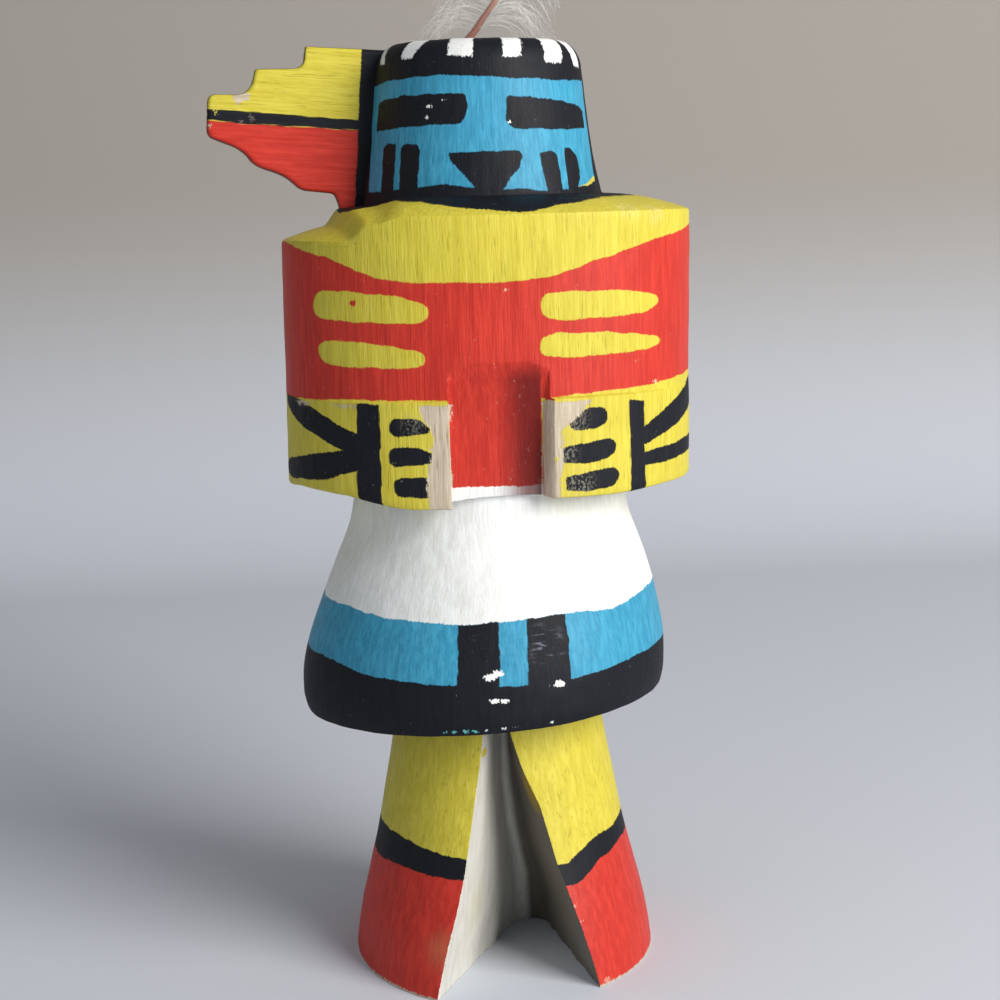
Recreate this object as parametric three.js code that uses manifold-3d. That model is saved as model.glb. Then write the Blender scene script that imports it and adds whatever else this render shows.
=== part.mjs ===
// A small carved and painted kachina doll. The figure is one turned blank of soft wood: legs,
// skirt, an arms-and-chest block and a flared case mask, then cut by knife between the legs and
// between the hands. A stepped wing of thin board is glued to one side of the head and a down
// plume is set in a hole in its crown.
//
// Millimetres, +Z up, front towards -Y. The doll stands on z = 0.

import * as THREE from "three";
import { ConvexGeometry } from "three/addons/geometries/ConvexGeometry.js";
import { mergeVertices } from "three/addons/utils/BufferGeometryUtils.js";
import Module from "manifold-3d";

// ---- Driving dimensions ----------------------------------------------------------------------

const GAP = 0.3; // glue line between pieces that touch
const SIDES = 72; // facets round the turned figure

// Heights of the turned shapes above the table.
const SKIRT_BOTTOM = 44;
const BLOCK_BOTTOM = 80.4;
const SLEEVE_HEM = 95.6; // where the chest steps back above the forearms
const SHOULDER = 126;
const RIM_START = 145.5;
const CROWN = 150;

// Radii.
const FOOT_RADIUS = 25.2;
const SKIRT_TOP_RADIUS = 22.4;
const HEAD_BASE_RADIUS = 19.5;
const HEAD_TOP_RADIUS = 16.5;
const RIM_ROUND = { across: 3.5, up: CROWN - RIM_START };

// Profiles as [radius, height] pairs that a smooth curve passes through.
const LEG_PROFILE = [
  [FOOT_RADIUS, 0],
  [24, 8],
  [20.9, 20.6],
  [18.3, 34.4],
  [16.9, SKIRT_BOTTOM],
];
const SKIRT_PROFILE = [
  [29.7, SKIRT_BOTTOM],
  [30.2, 46.8],
  [29.8, 53],
  [26.9, 63.6],
  [23.1, 74],
  [SKIRT_TOP_RADIUS, BLOCK_BOTTOM],
];
const HEAD_PROFILE = [
  [HEAD_BASE_RADIUS, SHOULDER],
  [18.1, 132.5],
  [17.1, 140],
  [HEAD_TOP_RADIUS, RIM_START],
];

// The legs stand a little off the axis, and the feet reach forward of their round.
const LEGS_OFF_AXIS = 0.5;
const FEET_FORWARD = { left: 0.2, right: 0.14, power: 1.6 };
// The skirt's lower part leans to the doll's right and its hem hangs lower on that side.
const SKIRT_LEAN = { aside: 1.8, hemSlope: 0.048, hemRise: 0.5, from: 72, to: 47 };

// Chest and arms: a block of rounded plan, wider than it is deep.
const BLOCK = { halfWidth: 33, armDepth: 27, chestDepth: 26.3, squareness: 2.15, edge: 0.6, lean: 0.6 };
// The forearms' undersides: each hand hangs lower than its elbow.
const HANDS = { rightDrop: 1.5, rightElbowRise: 0.7, leftDrop: 0.4 };
const SHOULDER_FALL = { drop: 2.6, power: 1.9 };
// The shoulder under the wing is pared down to seat it, then cut lower outside a sloping wall
// that leans in towards the front.
const WING_SEAT = { depth: 1.1, from: 13.5, to: 18 };
const SHOULDER_CUT = { depth: 2.3, wallAtSide: 24.6, wallAtFront: 19.2, wallSlope: 2.6 };

// The V cut between the legs, as its plan at several heights: the two ends of its mouth, in front
// of the feet, and its rounded root.
const LEG_CUT = {
  rootSides: 12,
  plans: [
    { z: -1, left: [-16.4, -34], right: [16.3, -35], root: [5.4, 4.1], radius: 3.3 },
    { z: 10, left: [-14.5, -34], right: [13.7, -35], root: [4.6, 0], radius: 2.4 },
    { z: 20, left: [-12.7, -34], right: [10.7, -35], root: [2.6, -4], radius: 1.6 },
    { z: 29, left: [-11.3, -34], right: [8.9, -35], root: [1.4, -6.2], radius: 1.2 },
    { z: 35, left: [-10.8, -34], right: [4.6, -35], root: [0.9, -7.7], radius: 0.85 },
    { z: SKIRT_BOTTOM - 0.05, left: [-10.8, -34], right: [-1.3, -35], root: [0.6, -9.4], radius: 0.45 },
  ],
};

// The hollow between the hands runs out upwards into the chest.
const HAND_CUT = {
  left: -7.6,
  right: 6.6,
  leftRound: 1,
  rightRound: 4,
  floor: -23.4,
  floorTop: 85,
  runOut: 101,
};

// The wing, in its own plane: out from the head, and up.
const WING = {
  thickness: 3.8,
  bevel: 0.35,
  reach: 18.6, // from the doll's axis to the point the outline is measured from
  back: 1.6, // how far behind the axis its middle plane passes
  top: 149.6,
  turn: 4, // degrees forward of straight out to the side
  lift: 4.8, // degrees that the outer end is tilted up
  cornerRound: 1.6,
};

// The plume.
const QUILL = { radius: 0.7, holeDepth: 4, lean: 32, x: -2.2, sides: 10 };
const VANE = { bottom: 1, length: 29, halfWidth: 14, halfDepth: 6, sides: 20, steps: 12 };

// ---- Helpers ---------------------------------------------------------------------------------

const wasm = await Module();
wasm.setup();

const radians = THREE.MathUtils.degToRad;
const smooth = THREE.MathUtils.smoothstep;
const lerp = THREE.MathUtils.lerp;

// A closed geometry as a solid, with the facets that collapse on the axis left out.
function solid(geometry) {
  const bare = geometry.clone();
  bare.deleteAttribute("normal");
  bare.deleteAttribute("uv");
  const merged = mergeVertices(bare, 1e-4);
  const corners = merged.index.array;
  const kept = [];
  for (let i = 0; i < corners.length; i += 3) {
    const [a, b, c] = corners.slice(i, i + 3);
    if (a !== b && b !== c && c !== a) kept.push(a, b, c);
  }
  return new wasm.Manifold(
    new wasm.Mesh({
      numProp: 3,
      vertProperties: merged.attributes.position.array,
      triVerts: new Uint32Array(kept),
    }),
  );
}

// A solid back as a geometry.
function geometryOf(made) {
  const { vertProperties, triVerts } = made.getMesh();
  const geometry = new THREE.BufferGeometry();
  geometry.setAttribute("position", new THREE.BufferAttribute(vertProperties, 3));
  geometry.setIndex(new THREE.BufferAttribute(triVerts, 1));
  return geometry;
}

// Points of a smooth curve through [radius, height] pairs.
function smoothProfile(pairs, steps) {
  return new THREE.SplineCurve(pairs.map((pair) => new THREE.Vector2(...pair))).getPoints(steps);
}

// A profile of Vector2(radius, height) from the axis to the axis, turned about +Z.
function turned(profile, sides) {
  return new THREE.LatheGeometry(profile, sides).rotateX(Math.PI / 2);
}

// Moves every vertex of a geometry by a function of its place.
function reshape(geometry, move) {
  const place = geometry.attributes.position;
  const point = new THREE.Vector3();
  for (let i = 0; i < place.count; i++) {
    move(point.fromBufferAttribute(place, i));
    place.setXYZ(i, point.x, point.y, point.z);
  }
  return geometry;
}

// ---- The figure ------------------------------------------------------------------------------

// The mask's profile from the shoulder to the crown, grown by a clearance.
function headProfile(clearance = 0) {
  const side = smoothProfile(HEAD_PROFILE, 7);
  const rim = new THREE.EllipseCurve(
    HEAD_TOP_RADIUS - RIM_ROUND.across, RIM_START, RIM_ROUND.across, RIM_ROUND.up, 0, Math.PI / 2,
  ).getPoints(4);
  return [...side, ...rim.slice(1)].map(
    ({ x, y }) => new THREE.Vector2(x + clearance, y > RIM_START ? y + clearance : y),
  );
}

// Sets the legs off the axis and draws the feet forward.
function shapeLegs(point) {
  if (point.z > SKIRT_BOTTOM + 1e-3) return;
  if (Math.hypot(point.x, point.y) > FOOT_RADIUS + 1e-3) return;
  if (point.y < 0) {
    const spread = smooth(point.x, -FOOT_RADIUS / 2, FOOT_RADIUS / 2);
    const most = lerp(FEET_FORWARD.left, FEET_FORWARD.right, spread);
    point.y *= 1 + most * (1 - point.z / SKIRT_BOTTOM) ** FEET_FORWARD.power;
  }
  point.x += LEGS_OFF_AXIS;
}

// Leans the skirt aside and slopes its hem.
function shapeSkirt(point) {
  const inside = Math.hypot(point.x, point.y) < FOOT_RADIUS && point.z < SKIRT_BOTTOM + 1e-3;
  if (point.z < SKIRT_BOTTOM - 1e-3 || point.z > SKIRT_LEAN.from || inside) return;
  const share = 1 - smooth(point.z, SKIRT_LEAN.to, SKIRT_LEAN.from);
  point.z += share * (SKIRT_LEAN.hemRise + SKIRT_LEAN.hemSlope * point.x);
  point.x -= share * SKIRT_LEAN.aside;
}

// Radius of the block's plan in a direction: a blunt oval.
function planRadius(angle, halfDepth) {
  const n = BLOCK.squareness;
  const across = Math.abs(Math.sin(angle)) / BLOCK.halfWidth;
  const deep = Math.abs(Math.cos(angle)) / halfDepth;
  return (across ** n + deep ** n) ** (-1 / n);
}

// How far the shoulder is cut down at a place on its top.
function shoulderCut(x, y) {
  const { depth, wallAtSide, wallAtFront, wallSlope } = SHOULDER_CUT;
  const wall = lerp(wallAtSide, wallAtFront, Math.min(1, Math.abs(y) / BLOCK.armDepth));
  const seat = WING_SEAT.depth * smooth(-x, WING_SEAT.from, WING_SEAT.to);
  return seat + depth * smooth(-x, wall - wallSlope / 2, wall + wallSlope / 2);
}

// How much lower than the block's bottom a place on the forearms' underside is.
function handDrop(x, y) {
  if (y > 0) return 0;
  const right = HANDS.rightDrop * smooth(-x, -2, 8) * (1 - smooth(-x, 13, 24));
  const left = HANDS.leftDrop * smooth(x, 2, 8) * (1 - smooth(x, 16, 28));
  return right + left - HANDS.rightElbowRise * smooth(-x, 19, 28) * smooth(-y, 2, 10);
}

// Draws the round blank's block out to its blunt oval plan and lays the shoulders' slopes.
function shapeBlock(point) {
  if (point.z < BLOCK_BOTTOM || point.z > SHOULDER) return;
  const radius = Math.hypot(point.x, point.y);
  const onShoulder = point.z > SHOULDER - SHOULDER_FALL.drop - BLOCK.edge - 0.01;
  const core = onShoulder ? HEAD_BASE_RADIUS : SKIRT_TOP_RADIUS;
  if (radius < core - 1e-3) return;
  const halfDepth = point.z > SLEEVE_HEM - 0.1 ? BLOCK.chestDepth : BLOCK.armDepth;
  const reach = (radius - core) / (BLOCK.halfWidth - core);
  const wanted = lerp(core, planRadius(Math.atan2(point.x, -point.y), halfDepth), reach);
  point.x *= wanted / radius;
  point.y *= wanted / radius;
  point.x += (BLOCK.lean * reach * (point.z - BLOCK_BOTTOM)) / (SHOULDER - BLOCK_BOTTOM);
  if (onShoulder) point.z -= shoulderCut(point.x, point.y);
  if (point.z < BLOCK_BOTTOM + 1 && reach > 0.5) point.z -= handDrop(point.x, point.y);
}

// The shoulder's top from its outer edge in to the head.
function shoulderProfile(steps) {
  const points = [];
  for (let i = 0; i <= steps; i++) {
    const reach = 1 - i / steps;
    const radius = lerp(HEAD_BASE_RADIUS, BLOCK.halfWidth - BLOCK.edge, reach);
    const height = SHOULDER - SHOULDER_FALL.drop * reach ** SHOULDER_FALL.power;
    points.push(new THREE.Vector2(radius, height));
  }
  return points;
}

function blank() {
  const edge = BLOCK.edge;
  const side = BLOCK.halfWidth;
  const shoulderEdge = SHOULDER - SHOULDER_FALL.drop - edge;
  const block = [
    [side - edge, BLOCK_BOTTOM],
    [side, BLOCK_BOTTOM + edge],
    [side, (BLOCK_BOTTOM + SLEEVE_HEM) / 2],
    [side, SLEEVE_HEM - 0.3],
    [side, SLEEVE_HEM],
    [side, (SLEEVE_HEM + SHOULDER) / 2],
    [side, shoulderEdge - 4],
    [side, shoulderEdge],
  ].map((pair) => new THREE.Vector2(...pair));
  const profile = [
    new THREE.Vector2(0, 0),
    ...smoothProfile(LEG_PROFILE, 8),
    ...smoothProfile(SKIRT_PROFILE, 10),
    ...block,
    ...shoulderProfile(9),
    ...headProfile().slice(1),
    new THREE.Vector2(0, CROWN),
  ];
  const round = turned(profile, SIDES);
  return solid([shapeLegs, shapeSkirt, shapeBlock].reduce(reshape, round));
}

// The V between the legs, spanned from each of its plans to the next.
function legCutter() {
  const corners = LEG_CUT.plans.map(({ z, left, right, root, radius }) => {
    const ring = new THREE.Path().absarc(...root, radius, 0, 2 * Math.PI).getPoints(LEG_CUT.rootSides);
    const mouth = [left, right].map((end) => new THREE.Vector2(...end));
    return [...mouth, ...ring].map(({ x, y }) => new THREE.Vector3(x, y, z));
  });
  const spans = corners.slice(1).map((plan, i) => solid(new ConvexGeometry([...corners[i], ...plan])));
  return spans.reduce((whole, span) => whole.add(span));
}

// The hollow between the hands: its plan, rounded at both hands, within its slope from the side.
function handCutter() {
  const { left, right, leftRound, rightRound, floor, floorTop, runOut } = HAND_CUT;
  const far = 2 * BLOCK.armDepth;
  const face = -BLOCK.armDepth;
  const plan = new THREE.Shape();
  plan.moveTo(left, floor + 4);
  plan.lineTo(left, face + leftRound);
  plan.quadraticCurveTo(left, face, left - leftRound, face);
  plan.lineTo(left - 4 * leftRound, -far);
  plan.lineTo(right + 2 * rightRound, -far);
  plan.lineTo(right + rightRound + 0.5, face - 0.5);
  plan.quadraticCurveTo(right + 0.4, face + 0.4, right, floor);
  plan.lineTo(right, floor + 4);
  const upright = new THREE.ExtrudeGeometry(plan, {
    depth: runOut - BLOCK_BOTTOM + 10, bevelEnabled: false, curveSegments: 4,
  }).translate(0, 0, BLOCK_BOTTOM - 5);

  const slope = new THREE.Shape();
  slope.moveTo(far, BLOCK_BOTTOM - 4);
  slope.lineTo(-floor, BLOCK_BOTTOM - 4);
  slope.lineTo(-floor, floorTop);
  slope.quadraticCurveTo(-floor + 1.2, runOut - 5, BLOCK.armDepth + 0.2, runOut + 2);
  slope.lineTo(far, runOut + 2);
  const across = new THREE.ExtrudeGeometry(slope, {
    depth: 2 * BLOCK.halfWidth, bevelEnabled: false, curveSegments: 5,
  });
  // Stand the side view up: its first axis becomes -Y, its second +Z and its depth X.
  across.applyMatrix4(new THREE.Matrix4().makeBasis(
    new THREE.Vector3(0, -1, 0), new THREE.Vector3(0, 0, 1), new THREE.Vector3(-1, 0, 0),
  )).translate(BLOCK.halfWidth, 0, 0);
  return solid(upright).intersect(solid(across));
}

// The plume's hole in the crown, leaning to the doll's left.
function plumeHole() {
  const radius = QUILL.radius + GAP;
  const hole = new THREE.CylinderGeometry(radius, radius, 2 * QUILL.holeDepth, QUILL.sides);
  hole.rotateX(Math.PI / 2).rotateY(radians(QUILL.lean)).translate(QUILL.x, 0, CROWN);
  return solid(hole);
}

function figure() {
  return blank().subtract(legCutter()).subtract(handCutter()).subtract(plumeHole());
}

// ---- The wing --------------------------------------------------------------------------------

// The stepped outline: three steps above, their softer echo below, in its own out and up axes.
function wingOutline() {
  const round = WING.cornerRound;
  const outline = new THREE.Shape();
  outline.moveTo(-9, -26);
  outline.lineTo(-9, 0);
  outline.lineTo(0, 0);
  outline.lineTo(8.9, -0.2);
  outline.lineTo(9, -3.7 + round);
  outline.quadraticCurveTo(9.1, -3.7, 9.1 + round, -3.8);
  outline.lineTo(16.6, -4.3);
  outline.lineTo(16.9, -8.1 + 1.4 * round);
  outline.quadraticCurveTo(17.1, -8.1, 17.2 + 1.4 * round, -8.3);
  outline.lineTo(23.2, -8.6);
  outline.quadraticCurveTo(23.9, -8.9, 23.9, -10);
  outline.lineTo(23.8, -14.4);
  outline.quadraticCurveTo(23.6, -15.3, 22.9, -15.5);
  outline.lineTo(20.7, -16.2);
  outline.quadraticCurveTo(18, -17, 16.9, -18.4);
  outline.quadraticCurveTo(15.9, -19.6, 13.8, -19.9);
  outline.quadraticCurveTo(11, -20.6, 9.6, -22);
  outline.quadraticCurveTo(8.7, -22.9, 7.4, -22.9);
  outline.lineTo(3.7, -23);
  outline.quadraticCurveTo(2.6, -23.2, 2.1, -26);
  return outline;
}

// The room that the head and shoulder take, with the glue line round them.
function headRoom() {
  const far = 2 * BLOCK.halfWidth;
  const seat = SHOULDER - WING_SEAT.depth + GAP;
  const floor = [
    [0, SHOULDER - 10],
    [far, SHOULDER - 10],
    [far, seat],
    [HEAD_BASE_RADIUS + GAP, seat],
  ].map((pair) => new THREE.Vector2(...pair));
  const profile = [...floor, ...headProfile(GAP), new THREE.Vector2(0, CROWN + GAP)];
  return solid(turned(profile, SIDES));
}

function headWing() {
  const { thickness, bevel, reach, back, top, turn, lift } = WING;
  const board = new THREE.ExtrudeGeometry(wingOutline(), {
    depth: thickness - 2 * bevel, bevelEnabled: true, bevelSize: bevel, bevelThickness: bevel,
    bevelOffset: -bevel, bevelSegments: 1, curveSegments: 4,
  }).translate(0, 0, bevel - thickness / 2);
  // Out becomes -X, up becomes +Z, and the thickness lies along Y.
  board.applyMatrix4(new THREE.Matrix4().makeBasis(
    new THREE.Vector3(-1, 0, 0), new THREE.Vector3(0, 0, 1), new THREE.Vector3(0, 1, 0),
  ));
  board.rotateY(radians(lift)).translate(-reach, back, top).rotateZ(radians(turn));
  return solid(board).subtract(headRoom());
}

// ---- The plume -------------------------------------------------------------------------------

// The quill's course: out of its hole at a lean, then bending upright through the vane.
function quillCourse() {
  const lean = radians(QUILL.lean);
  const along = (distance) =>
    new THREE.Vector3(QUILL.x + distance * Math.sin(lean), 0, CROWN + distance * Math.cos(lean));
  return new THREE.CatmullRomCurve3([
    along(GAP - QUILL.holeDepth),
    along(0),
    along(4),
    new THREE.Vector3(3.4, 0.4, CROWN + 12),
    new THREE.Vector3(4.4, 1.6, CROWN + 21),
    new THREE.Vector3(3.6, 3.2, CROWN + VANE.length),
  ]);
}

function plume() {
  const course = quillCourse();
  const ring = new THREE.Shape().absarc(0, 0, QUILL.radius, 0, 2 * Math.PI);
  const quill = new THREE.ExtrudeGeometry(ring, {
    steps: 16, bevelEnabled: false, curveSegments: QUILL.sides / 2, extrudePath: course,
  });
  // The down stands round the quill as one flattened tuft, widest near its foot.
  const tuft = [];
  for (let i = 0; i <= VANE.steps; i++) {
    const share = (i / VANE.steps) ** 1.5;
    const width = Math.sin(Math.PI * share ** 0.5) ** 0.75;
    tuft.push(new THREE.Vector2(i % VANE.steps ? width : 0, share));
  }
  const vane = reshape(turned(tuft, VANE.sides), (point) => {
    const middle = course.getPoint(lerp(0.22, 1, point.z));
    const height = CROWN + lerp(VANE.bottom, VANE.length + 1, point.z);
    point.set(middle.x + VANE.halfWidth * point.x, middle.y + VANE.halfDepth * point.y, height);
  });
  return solid(quill).add(solid(vane));
}

// ---- Assembly --------------------------------------------------------------------------------

function piece(name, made, color, roughness) {
  const material = new THREE.MeshStandardMaterial({ color, roughness, metalness: 0 });
  const mesh = new THREE.Mesh(geometryOf(made), material);
  mesh.name = name;
  return mesh;
}

const doll = new THREE.Group();
doll.add(
  piece("figure", figure(), "#c9b83a", 0.6),
  piece("head_wing", headWing(), "#c43526", 0.6),
  piece("plume", plume(), "#ece6dc", 0.9),
);

// The origin is the middle of the doll's box, on the table.
const box = new THREE.Box3().setFromObject(doll);
doll.position.set(-(box.min.x + box.max.x) / 2, -(box.min.y + box.max.y) / 2, -box.min.z);

export default doll;
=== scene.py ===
"""A carved and painted kachina doll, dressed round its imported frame.

Work sizes are millimetres in the doll's own axes: the wood's turning axis at x = y = 0, the front
towards -Y and the table at z = 0. A mesh turns to metres and moves to the frame's place as it is made.
"""

import logging
import math
from dataclasses import dataclass
from enum import Enum
from typing import Sequence, Union

import bmesh
import bpy
import numpy as np
from mathutils import Matrix, Vector


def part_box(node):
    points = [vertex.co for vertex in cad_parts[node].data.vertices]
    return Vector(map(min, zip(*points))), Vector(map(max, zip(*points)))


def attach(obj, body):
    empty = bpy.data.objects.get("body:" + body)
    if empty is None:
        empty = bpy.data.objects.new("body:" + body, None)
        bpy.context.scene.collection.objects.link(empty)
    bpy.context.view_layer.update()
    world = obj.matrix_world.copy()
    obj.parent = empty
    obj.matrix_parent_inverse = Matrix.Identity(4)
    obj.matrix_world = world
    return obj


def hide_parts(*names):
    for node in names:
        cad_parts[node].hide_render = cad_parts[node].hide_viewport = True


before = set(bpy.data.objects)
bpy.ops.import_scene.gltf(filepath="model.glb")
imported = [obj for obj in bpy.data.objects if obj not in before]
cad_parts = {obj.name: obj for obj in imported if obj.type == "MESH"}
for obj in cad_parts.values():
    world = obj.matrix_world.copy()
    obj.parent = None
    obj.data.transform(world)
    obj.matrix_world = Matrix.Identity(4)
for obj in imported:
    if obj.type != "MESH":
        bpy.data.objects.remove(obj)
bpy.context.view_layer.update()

LOG = logging.getLogger("kachina")
MM = 0.001
SEED = 1706
WORN = "worn"  # the name under which a mesh keeps its wear
Pair = tuple[float, float]
Triple = tuple[float, float, float]


# ---- Shaping helpers -------------------------------------------------------------------------


def smooth(value: np.ndarray, low: float, high: float) -> np.ndarray:
    """A soft step from 0 at low to 1 at high."""
    share = np.clip((value - low) / (high - low), 0, 1)
    return share * share * (3 - 2 * share)


def lerp(start: np.ndarray, end: np.ndarray, share: np.ndarray) -> np.ndarray:
    """The value that lies a share of the way from start to end."""
    return start + (end - start) * share


def curve_through(knots: Sequence[Sequence[float]], pitch: float) -> np.ndarray:
    """Points of a smooth curve through its knots.

    Args:
        knots: the points that the curve passes, in any number of dimensions.
        pitch: the greatest step between neighbouring points, in mm.

    Returns:
        The points, one row each, both ends included.
    """
    held = np.asarray(knots, float)
    held = np.vstack([held[:1], held, held[-1:]])
    points = []
    for before, start, end, after in zip(held, held[1:], held[2:], held[3:]):
        steps = max(1, math.ceil(float(np.linalg.norm(end - start)) / pitch))
        t = (np.arange(steps) / steps)[:, None]
        leave, arrive = (end - before) / 2, (after - start) / 2
        bend = 2 * (start - end) + leave + arrive
        points.append(bend * t**3 + (3 * (end - start) - 2 * leave - arrive) * t**2 + leave * t + start)
    return np.vstack([*points, held[-1:]])


class Grain:
    """Seeded smooth noise in space: the unevenness that knife, brush and growth rings leave."""

    CELLS = 8192
    HASH = np.array([73856093, 19349663, 83492791])

    def __init__(self, seed: int) -> None:
        """Draws the table of heights."""
        self.table = np.random.default_rng(seed).uniform(-1, 1, self.CELLS)

    def at(self, points: np.ndarray, pitch: Triple) -> np.ndarray:
        """Noise at some points.

        Args:
            points: places in mm, one row each.
            pitch: the size of a bump along each axis, in mm.

        Returns:
            One number between -1 and 1 for each point.
        """
        scaled = points / np.asarray(pitch)
        cell = np.floor(scaled).astype(np.int64)
        part = smooth(scaled - cell, 0, 1)
        total = np.zeros(len(points))
        for corner in np.ndindex(2, 2, 2):
            key = (cell + corner) * self.HASH
            value = self.table[(key[:, 0] ^ key[:, 1] ^ key[:, 2]) % self.CELLS]
            share = np.where(np.array(corner), part, 1 - part).prod(axis=1)
            total += value * share
        return total


@dataclass(frozen=True)
class Place:
    """Where the doll's own axes stand in the frame."""

    axis_x: float  # mm, the turning axis
    axis_y: float

    @classmethod
    def of_figure(cls, left_reach: float) -> "Place":
        """Reads the axis from the CAD figure's box: its block reaches left_reach mm to the doll's left."""
        low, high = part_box("figure")
        return cls(high[0] / MM - left_reach, (low[1] + high[1]) / 2 / MM)

    def metres(self, points: np.ndarray) -> np.ndarray:
        """Points in mm in the doll's axes, as metres in the frame."""
        return (np.asarray(points) + (self.axis_x, self.axis_y, 0)) * MM

    def millimetres(self, points: np.ndarray) -> np.ndarray:
        """Points in metres in the frame, as mm in the doll's axes."""
        return np.asarray(points) / MM - (self.axis_x, self.axis_y, 0)


def mesh_object(name: str, points: np.ndarray, faces: Sequence[Sequence[int]]) -> bpy.types.Object:
    """A linked object made of points in metres and faces."""
    mesh = bpy.data.meshes.new(name)
    mesh.from_pydata(points.tolist(), [], faces)
    mesh.validate()
    made = bpy.data.objects.new(name, mesh)
    bpy.context.scene.collection.objects.link(made)
    return made


def mesh_points(mesh: bpy.types.Mesh) -> np.ndarray:
    """A mesh's vertices, one row each."""
    flat = np.empty(len(mesh.vertices) * 3)
    mesh.vertices.foreach_get("co", flat)
    return flat.reshape(-1, 3)


def mesh_normals(mesh: bpy.types.Mesh) -> np.ndarray:
    """The normals at a mesh's vertices, one row each."""
    flat = np.empty(len(mesh.vertices) * 3)
    mesh.vertex_normals.foreach_get("vector", flat)
    return flat.reshape(-1, 3)


def set_points(mesh: bpy.types.Mesh, points: np.ndarray) -> None:
    """Moves a mesh's vertices to new places."""
    mesh.vertices.foreach_set("co", points.ravel())
    mesh.update()


def apply_modifiers(made: bpy.types.Object) -> None:
    """Turns an object's modifiers into its mesh."""
    graph = bpy.context.evaluated_depsgraph_get()
    mesh = bpy.data.meshes.new_from_object(made.evaluated_get(graph))
    made.modifiers.clear()
    old, made.data = made.data, mesh
    name = old.name
    bpy.data.meshes.remove(old)
    mesh.name = name


def cut(made: bpy.types.Object, *cutters: bpy.types.Object) -> None:
    """Cuts the cutters out of an object, one after another, and throws them away."""
    for cutter in cutters:
        knife = made.modifiers.new(cutter.name, "BOOLEAN")
        knife.operation, knife.solver, knife.object = "DIFFERENCE", "MANIFOLD", cutter
        apply_modifiers(made)
        bpy.data.objects.remove(cutter)


def loft(rings: Sequence[np.ndarray]) -> tuple[np.ndarray, list[list[int]]]:
    """A closed skin over rings of as many points each, with a flat cap at both ends.

    Args:
        rings: the rings from the bottom up, each anticlockwise seen from above.

    Returns:
        The points and the faces.
    """
    count = len(rings[0])
    faces = [list(range(count))[::-1]]
    for ring in range(len(rings) - 1):
        low, high = ring * count, (ring + 1) * count
        for i in range(count):
            j = (i + 1) % count
            faces.append([low + i, low + j, high + j, high + i])
    top = (len(rings) - 1) * count
    faces.append(list(range(top, top + count)))
    return np.vstack(rings), faces


def hull(points: np.ndarray) -> list[np.ndarray]:
    """The corners of the tightest hollow-free outline round some points, anticlockwise."""
    ordered = [np.array(point) for point in sorted(map(tuple, points))]
    chains = []
    for row in (ordered, ordered[::-1]):
        chain = []
        for point in row:
            while len(chain) > 1 and np.linalg.det([chain[-1] - chain[-2], point - chain[-2]]) <= 0:
                chain.pop()
            chain.append(point)
        chains += chain[:-1]
    return chains


def finely(outline: Sequence[Pair], pitch: float) -> np.ndarray:
    """A closed outline's points, with more between them so that no step is over pitch."""
    points = []
    corners = [np.asarray(corner, float) for corner in outline]
    for start, end in zip(corners, corners[1:] + corners[:1]):
        steps = max(1, math.ceil(float(np.linalg.norm(end - start)) / pitch))
        points += [lerp(start, end, step / steps) for step in range(steps)]
    return np.array(points)


def bend_of(mesh: bpy.types.Mesh) -> tuple[np.ndarray, np.ndarray]:
    """How each vertex lies among its neighbours.

    Args:
        mesh: the mesh to look at.

    Returns:
        The step from each vertex to its neighbours' middle, and its bend: over 0 on a ridge and
        under 0 in a groove, as a share of the step to the neighbours.
    """
    points, normals = mesh_points(mesh), mesh_normals(mesh)
    ends = np.empty(len(mesh.edges) * 2, dtype=np.int32)
    mesh.edges.foreach_get("vertices", ends)
    a, b = ends.reshape(-1, 2).T
    length = np.linalg.norm(points[a] - points[b], axis=1)
    total, reach, count = np.zeros_like(points), np.zeros(len(points)), np.zeros(len(points))
    for here, there in ((a, b), (b, a)):
        np.add.at(total, here, points[there])
        np.add.at(reach, here, length)
        np.add.at(count, here, 1)
    count = np.maximum(count, 1)
    step = total / count[:, None] - points
    bend = -(step * normals).sum(axis=1) / np.maximum(reach / count, 1e-9)
    return step, bend


def blunt(made: bpy.types.Object, rounds: int, least: float) -> None:
    """Takes the keen off sharp edges, as handling does.

    Args:
        made: the object whose mesh is softened.
        rounds: how many times it is rubbed.
        least: the bend from which an edge is rubbed down.
    """
    mesh = made.data
    for _ in range(rounds):
        step, bend = bend_of(mesh)
        share = 0.6 * smooth(np.abs(bend), least, 3 * least)
        set_points(mesh, mesh_points(mesh) + step * share[:, None])


def spread(mesh: bpy.types.Mesh, values: np.ndarray, rounds: int) -> np.ndarray:
    """Values at the vertices, evened out over their neighbours a number of times."""
    ends = np.empty(len(mesh.edges) * 2, dtype=np.int32)
    mesh.edges.foreach_get("vertices", ends)
    a, b = ends.reshape(-1, 2).T
    for _ in range(rounds):
        total, count = values.copy(), np.ones(len(values))
        for here, there in ((a, b), (b, a)):
            np.add.at(total, here, values[there])
            np.add.at(count, here, 1)
        values = total / count
    return values


def store(mesh: bpy.types.Mesh, name: str, values: np.ndarray) -> None:
    """Keeps a number, or a vector, for each vertex under a name that a finish reads."""
    kind = "FLOAT" if values.ndim == 1 else "FLOAT_VECTOR"
    kept = mesh.attributes.new(name, kind, "POINT")
    kept.data.foreach_set("value" if values.ndim == 1 else "vector", values.ravel())


def wear(made: bpy.types.Object, low: float, high: float, rounds: int) -> None:
    """Notes at each vertex how far handling has worn it: most on the keenest ridges.

    Args:
        made: the object.
        low: the bend from which a ridge is worn.
        high: the bend at which it is worn through.
        rounds: how far the wear spreads, in vertices.
    """
    _, bend = bend_of(made.data)
    store(made.data, WORN, spread(made.data, smooth(bend, low, high), rounds))


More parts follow.
